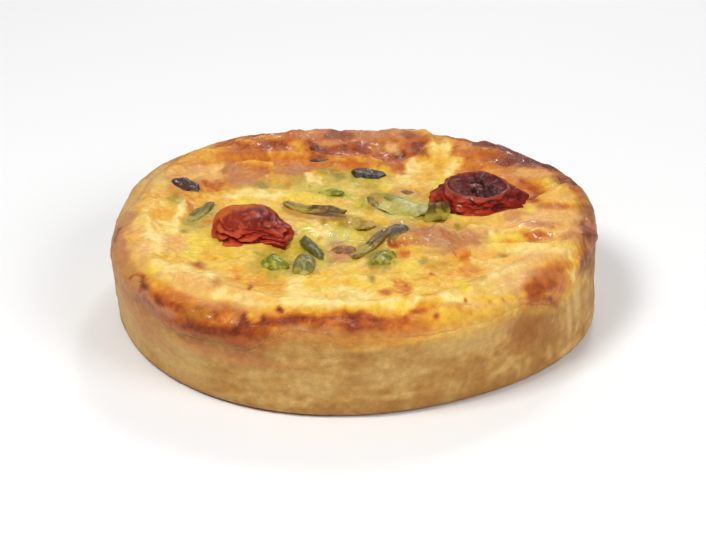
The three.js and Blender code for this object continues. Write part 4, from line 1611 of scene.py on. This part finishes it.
_, x, y, size, turn, sunk, *_ = TOPPINGS["tomato_left"]
bm, directions, front = domed_tomato(*size)
tomato_left = piece_from(seated(bm, x, y, size, turn, sunk), "tomato_left_roasted")
paint(tomato_left.data, "tint", dome_colour(directions, front))
paint(tomato_left.data, "gloss", np.clip(0.22 + 0.9 * cloud(directions, 0.14, 86, 2), 0.1, 1))
print("left tomato:", len(tomato_left.data.polygons), "faces")

# %% [markdown]
# ## The right tomato half
#
# This half lay cut side up and shrank into a cup: a wrinkled wall of skin, a raised ring where the cut edge
# dried, and inside it a sunken face that charred to purple and black. It is turned from one profile line,
# drawn smoothly through a few named points, and wrinkled afterwards.

# %% Shape of the right tomato
# Its profile as (radius, height), in shares of half its width and of its height: the wall, then the face.
CUP_BELLY = [(0, -0.5), (0.6, -0.5), (0.88, -0.36), (0.97, -0.16), (0.98, 0.04), (0.87, 0.22), (0.73, 0.42)]
CUP_FACE = [(0.66, 0.5), (0.61, 0.45), (0.42, 0.38), (0.2, 0.42), (0, 0.4)]
CUP_ROWS = 110
CUP_COLUMNS = 200
# How much longer the face is from front to back than the wall below it.
FACE_DEEPER = 0.24
# Where the wall bulges to the left and the right: middle and half width in degrees, and rise.
SHOULDERS = [(157.56, 21.8, 0.12), (5.73, 21.8, 0.12)]


def through(points, count):
    """A smooth line through the points, as count places (a Catmull-Rom curve)."""
    points = np.array(points, float)
    ends = np.vstack((2 * points[0] - points[1], points, 2 * points[-1] - points[-2]))
    line = []
    for t in np.linspace(0, len(points) - 1 - 1e-9, count):
        k = int(t)
        u = t - k
        a, b, c, d = ends[k : k + 4]
        bow = (2 * a - 5 * b + 4 * c - d) * u**2 + (3 * b - a - 3 * c + d) * u**3
        line.append(b + ((c - a) * u + bow) / 2)
    return np.array(line)


def cup_row(angle, point):
    """One row of the cup, uneven all round and with low pleats and shoulders on its wall."""
    r, z = point
    side = smooth(0.45, 0.8, r) * smooth(0.5, 0.14, z)
    uneven = 0.03 * np.cos(3 * angle + 0.6) + 0.018 * np.cos(5 * angle + 2) + 0.012 * np.sin(11 * angle)
    pleats = 0.03 * np.sin(8 * angle + 6 * z)
    return r * (1 + uneven + side * (pleats + swell(angle, SHOULDERS))), 0 * angle + z


def cup_shape(n, row, size):
    """Wrinkles the turned cup and gives it its size. Returns the places and what the colours need."""
    x, y, z = n.T
    r = np.hypot(x, y)
    inner = smooth(0.67, 0.62, r) * (row > CUP_ROWS / 2)
    side = smooth(0.6, 0.8, r) * smooth(0.5, 0.3, z)
    wrinkle = creases(n * (1, 1, 2), 0.6, 91, 3)
    middle = lump(x, y, 0.06, 0.05, 0.4, 0.42, 0, 1)
    crumple = middle * creases(n * (1, 2.2, 1) + (0, 0, 3), 0.34, 92, 3)
    spokes = np.sin(11 * angle_of(n) + 4 * cloud(n, 0.5, 96, 2)) * smooth(0.1, 0.4, r)
    level = z + inner * (0.26 * crumple - 0.16 * middle + 0.035 * spokes - 0.05)
    level += (0.03 + 0.03 * (r > 0.5)) * cloud(n, 0.4, 93, 3)
    level[row == 0] = CUP_BELLY[0][1]
    level[row == CUP_ROWS - 1] = CUP_FACE[-1][1]
    spread = (1 + side * (0.12 * wrinkle - 0.07)) / 2
    deeper = 1 + FACE_DEEPER * smooth(0, 0.42, z)
    shaped = np.column_stack((x * spread, y * spread * deeper, level)) * size
    return shaped, inner, wrinkle, crumple


# %% Colours of the right tomato
CUP = {
    "valley": linear((84, 16, 10)),
    "fold": linear((150, 38, 18)),
    "ring": linear((146, 66, 48)),
    "grape": linear((92, 38, 36)),
    "black": linear((44, 18, 16)),
    "russet": linear((124, 62, 48)),
    "mulberry": linear((116, 60, 58)),
}


def cup_colour(n, face, wrinkle, crumple):
    x, y, z = n.T
    soft = 0.2 * cloud(n, 0.4, 94, 3)
    # The valleys between the wrinkles are painted dark as shade in the creases.
    skin = tinted(CUP["valley"], CUP["fold"], smooth(0.15, 0.6, wrinkle + soft))
    skin = tinted(skin, RED["pale"], 0.5 * smooth(0.7, 1, wrinkle) * smooth(0.3, -0.2, x))
    skin = tinted(skin, RED["dark"], 0.8 * smooth(0.35, 0.9, x + soft))
    skin = tinted(skin, CUP["ring"], 0.8 * smooth(0.4, 0.48, z) * (1 - face))
    burnt = lump(x, y, 0.08, 0.1, 0.3, 0.55, 0, 1) + 1.4 * soft
    inside = tinted(CUP["grape"], CUP["black"], smooth(0.25, 0.7, burnt))
    # Russet on the crumpled ridges of the face: painted highlights on its wrinkles.
    inside = tinted(inside, CUP["russet"], 0.6 * smooth(0.5, 0.9, crumple))
    streaks = smooth(0.1, 0.35, cloud(n * (1, 0.4, 1), 0.2, 97, 2))
    inside = tinted(inside, CUP["mulberry"], 0.5 * streaks)
    return tinted(skin, inside, face)


_, x, y, size, turn, sunk, *_ = TOPPINGS["tomato_right"]
line = through(CUP_BELLY + CUP_FACE, CUP_ROWS)
line[:, 0] = np.maximum(line[:, 0], 0)
line[[0, -1], 0] = 0
tomato_right = turned("tomato_right_roasted", each(cup_row, line), CUP_COLUMNS)
plain = places_of(tomato_right.data)
row = values_of(tomato_right.data, "row")
shaped, inner, wrinkle, crumple = cup_shape(plain, row, size)
set_places(tomato_right.data, seat_places(shaped, x, y, size, turn, sunk))
paint(tomato_right.data, "tint", cup_colour(plain, inner, wrinkle, crumple))
places = places_of(tomato_right.data)
paint(tomato_right.data, "gloss", np.clip(0.55 - 0.1 * inner + 0.6 * cloud(places, 2, 95, 2), 0.1, 1))
print("right tomato:", len(tomato_right.data.polygons), "faces")

# %% [markdown]
# ## Materials
#
# All the food shares one node group. It breaks up a vertex colour with fine mottling, turns the gloss
# attribute into roughness and a wet coat, and makes a height for the bump. Each material sets its own grain
# and strength. Object coordinates are in metres, so a grain of 900 is about 900 spots to the metre.


# %% Helpers for nodes
def add(tree, kind, values=(), **settings):
    """A node with its settings, and with the given values on its inputs."""
    node = tree.nodes.new(kind)
    for name, value in settings.items():
        setattr(node, name, value)
    for name, value in dict(values).items():
        node.inputs[name].default_value = value
    return node


def join(tree, *pairs):
    for source, target in pairs:
        tree.links.new(source, target)


# %% The shared surface group
GROUP_SOCKETS = [
    ("Vector", "Vector", "INPUT"),
    ("Tint", "Color", "INPUT"),
    ("Gloss", "Float", "INPUT"),
    ("Grain", "Float", "INPUT"),
    ("Mottle", "Float", "INPUT"),
    ("Damp", "Float", "INPUT"),
    ("Color", "Color", "OUTPUT"),
    ("Roughness", "Float", "OUTPUT"),
    ("Wet", "Float", "OUTPUT"),
    ("Height", "Float", "OUTPUT"),
]


def food_surface():
    """Fine mottling, roughness, wetness and bump height for baked food, in object coordinates."""
    tree = bpy.data.node_groups.new("Baked food surface", "ShaderNodeTree")
    for name, kind, way in GROUP_SOCKETS:
        tree.interface.new_socket(name, in_out=way, socket_type="NodeSocket" + kind)
    given = tree.nodes.new("NodeGroupInput").outputs
    out = tree.nodes.new("NodeGroupOutput").inputs

    coarse = add(tree, "ShaderNodeTexNoise", {"Detail": 5, "Roughness": 0.65})
    finer = add(tree, "ShaderNodeMath", {1: 3.3}, operation="MULTIPLY")
    bubbles = add(tree, "ShaderNodeTexVoronoi")
    swing = add(tree, "ShaderNodeMapRange", {"From Min": 0.3, "From Max": 0.7, "To Min": -1, "To Max": 1})
    join(
        tree,
        (given["Vector"], coarse.inputs["Vector"]),
        (given["Grain"], coarse.inputs["Scale"]),
        (given["Grain"], finer.inputs[0]),
        (given["Vector"], bubbles.inputs["Vector"]),
        (finer.outputs[0], bubbles.inputs["Scale"]),
        (coarse.outputs["Fac"], swing.inputs["Value"]),
    )

    shift = add(tree, "ShaderNodeMath", {2: 1}, operation="MULTIPLY_ADD")
    shade = add(tree, "ShaderNodeVectorMath", operation="SCALE")
    join(
        tree,
        (swing.outputs["Result"], shift.inputs[0]),
        (given["Mottle"], shift.inputs[1]),
        (given["Tint"], shade.inputs[0]),
        (shift.outputs[0], shade.inputs["Scale"]),
        (shade.outputs[0], out["Color"]),
    )

    sheen = add(tree, "ShaderNodeMapRange", {"To Min": 0.62, "To Max": 0.2})
    rough = add(tree, "ShaderNodeMath", {1: 0.08}, operation="MULTIPLY_ADD")
    wet = add(tree, "ShaderNodeMapRange", {"From Min": 0.6, "From Max": 1, "To Max": 0.55})
    height = add(tree, "ShaderNodeMath", {1: -0.35}, operation="MULTIPLY_ADD")
    join(
        tree,
        (given["Gloss"], sheen.inputs["Value"]),
        (swing.outputs["Result"], rough.inputs[0]),
        (sheen.outputs["Result"], rough.inputs[2]),
        (rough.outputs[0], out["Roughness"]),
        (given["Damp"], wet.inputs["To Min"]),
        (given["Gloss"], wet.inputs["Value"]),
        (wet.outputs["Result"], out["Wet"]),
        (bubbles.outputs["Distance"], height.inputs[0]),
        (coarse.outputs["Fac"], height.inputs[2]),
        (height.outputs[0], out["Height"]),
    )
    return tree


surface = food_surface()
print("nodes in the shared group:", len(surface.nodes))

# %% Materials
# What every food has in common. Light scatters a few millimetres under its surface, the red furthest.
SHADER_VALUES = {
    "Subsurface Radius": (0.004, 0.002, 0.001),
    "Subsurface Scale": 1,
    "Coat Roughness": 0.12,
    "Specular IOR Level": 0.12,
}


def food_material(name, grain, mottle, bump, damp=0.15, soft=0):
    """A Principled material that reads the tint and gloss attributes through the shared group."""
    material = bpy.data.materials.new(name)
    material.use_nodes = True
    tree = material.node_tree
    shader = tree.nodes["Principled BSDF"].inputs
    for socket, value in {**SHADER_VALUES, "Subsurface Weight": soft}.items():
        shader[socket].default_value = value
    place = add(tree, "ShaderNodeTexCoord")
    tint = add(tree, "ShaderNodeAttribute", attribute_name="tint")
    gloss = add(tree, "ShaderNodeAttribute", attribute_name="gloss")
    looks = {"Grain": grain, "Mottle": mottle, "Damp": damp}
    group = add(tree, "ShaderNodeGroup", looks, node_tree=surface)
    relief = add(tree, "ShaderNodeBump", {"Strength": 0.8, "Distance": bump * MM})
    join(
        tree,
        (place.outputs["Object"], group.inputs["Vector"]),
        (tint.outputs["Color"], group.inputs["Tint"]),
        (gloss.outputs["Fac"], group.inputs["Gloss"]),
        (group.outputs["Color"], shader["Base Color"]),
        (group.outputs["Roughness"], shader["Roughness"]),
        (group.outputs["Wet"], shader["Coat Weight"]),
        (group.outputs["Height"], relief.inputs["Height"]),
        (relief.outputs["Normal"], shader["Normal"]),
    )
    return material


MATERIALS = {
    "shortcrust": food_material("Baked shortcrust", 700, 0.14, 0.35, damp=0),
    "custard": food_material("Baked custard", 620, 0.12, 0.42, damp=0.07, soft=0.05),
    "roasted_tomato": food_material("Roasted tomato skin", 900, 0.14, 0.14, damp=0.08),
    "charred_vegetable": food_material("Charred vegetable", 900, 0.3, 0.25),
    "green_vegetable": food_material("Green vegetable", 900, 0.2, 0.15),
    "olive_vegetable": food_material("Olive vegetable", 900, 0.2, 0.15),
    "grey_green_vegetable": food_material("Grey green vegetable", 900, 0.2, 0.15),
    "mushroom": food_material("Roasted mushroom", 900, 0.22, 0.2),
}
print("materials:", ", ".join(MATERIALS))

# %% [markdown]
# ## Putting the pieces on the frame
#
# Every mesh is scaled to metres, takes its material, rides on the one body and stands for its plain solid.

# %% Attach the pieces
BUILT = {
    "pastry_case": (case, "shortcrust"),
    "custard": (custard, "custard"),
    "tomato_left": (tomato_left, "roasted_tomato"),
    "tomato_right": (tomato_right, "roasted_tomato"),
}
BUILT.update({name: (piece, TOPPINGS[name][6]) for name, piece in vegetables.items()})
for node, (piece, slot) in BUILT.items():
    set_places(piece.data, places_of(piece.data) * MM)
    piece.data.materials.append(MATERIALS[slot])
    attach(piece, "root")
    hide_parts(node)
print("pieces attached:", len(BUILT))

# %% [markdown]
# ## Table, light and camera
#
# The quiche stands on a plain pale table under soft light: a key above the front left, a fill from the
# front right, a small lamp high behind, and a long strip behind that puts glints on the glossy blisters.
# The camera looks down at about 25 degrees, as in the photo.

# %% Floor
TABLE_RADIUS = 3
bm = bmesh.new()
bmesh.ops.create_circle(bm, cap_ends=True, segments=96, radius=TABLE_RADIUS)
floor = piece_from(bm, "table")
pale = bpy.data.materials.new("Pale table")
pale.use_nodes = True
pale_shader = pale.node_tree.nodes["Principled BSDF"].inputs
pale_shader["Base Color"].default_value = (0.86, 0.86, 0.86, 1)
pale_shader["Roughness"].default_value = 0.8
floor.data.materials.append(pale)


# %% Light
def area_light(name, place, size, power):
    """A lamp at a place in metres that faces the quiche, with its size in metres and its power in watts."""
    lamp = bpy.data.lights.new(name, "AREA")
    lamp.shape = "RECTANGLE"
    lamp.size, lamp.size_y = size
    lamp.energy = power
    holder = bpy.data.objects.new(name, lamp)
    holder.location = place
    holder.rotation_euler = (-Vector(place)).to_track_quat("-Z", "Y").to_euler()
    bpy.context.scene.collection.objects.link(holder)


area_light("key", (-0.4, -0.35, 0.75), (0.3, 0.3), 5.6)
area_light("fill", (0.55, -0.5, 0.5), (0.4, 0.4), 3.8)
area_light("back_top", (0.15, 0.5, 0.6), (0.12, 0.12), 1)
area_light("back_strip", (0.05, 0.75, 0.45), (0.4, 0.04), 1)
world = bpy.data.worlds.new("Soft room")
world.use_nodes = True
room = world.node_tree.nodes["Background"].inputs
room["Color"].default_value = (1, 1, 1, 1)
room["Strength"].default_value = 0.24
bpy.context.scene.world = world
bpy.context.scene.view_settings.view_transform = "Standard"

# %% Camera
AIM = Vector((0.15, 0, 9.6)) * MM
DISTANCE = 520 * MM
TILT = math.radians(24.8)
LENS = 104.4
SENSOR = 36

lens = bpy.data.cameras.new("camera")
lens.lens = LENS
lens.sensor_width = SENSOR
camera = bpy.data.objects.new("camera", lens)
camera.location = AIM + DISTANCE * Vector((0, -math.cos(TILT), math.sin(TILT)))
camera.rotation_euler = (AIM - camera.location).to_track_quat("-Z", "Y").to_euler()
bpy.context.scene.collection.objects.link(camera)
bpy.context.scene.camera = camera
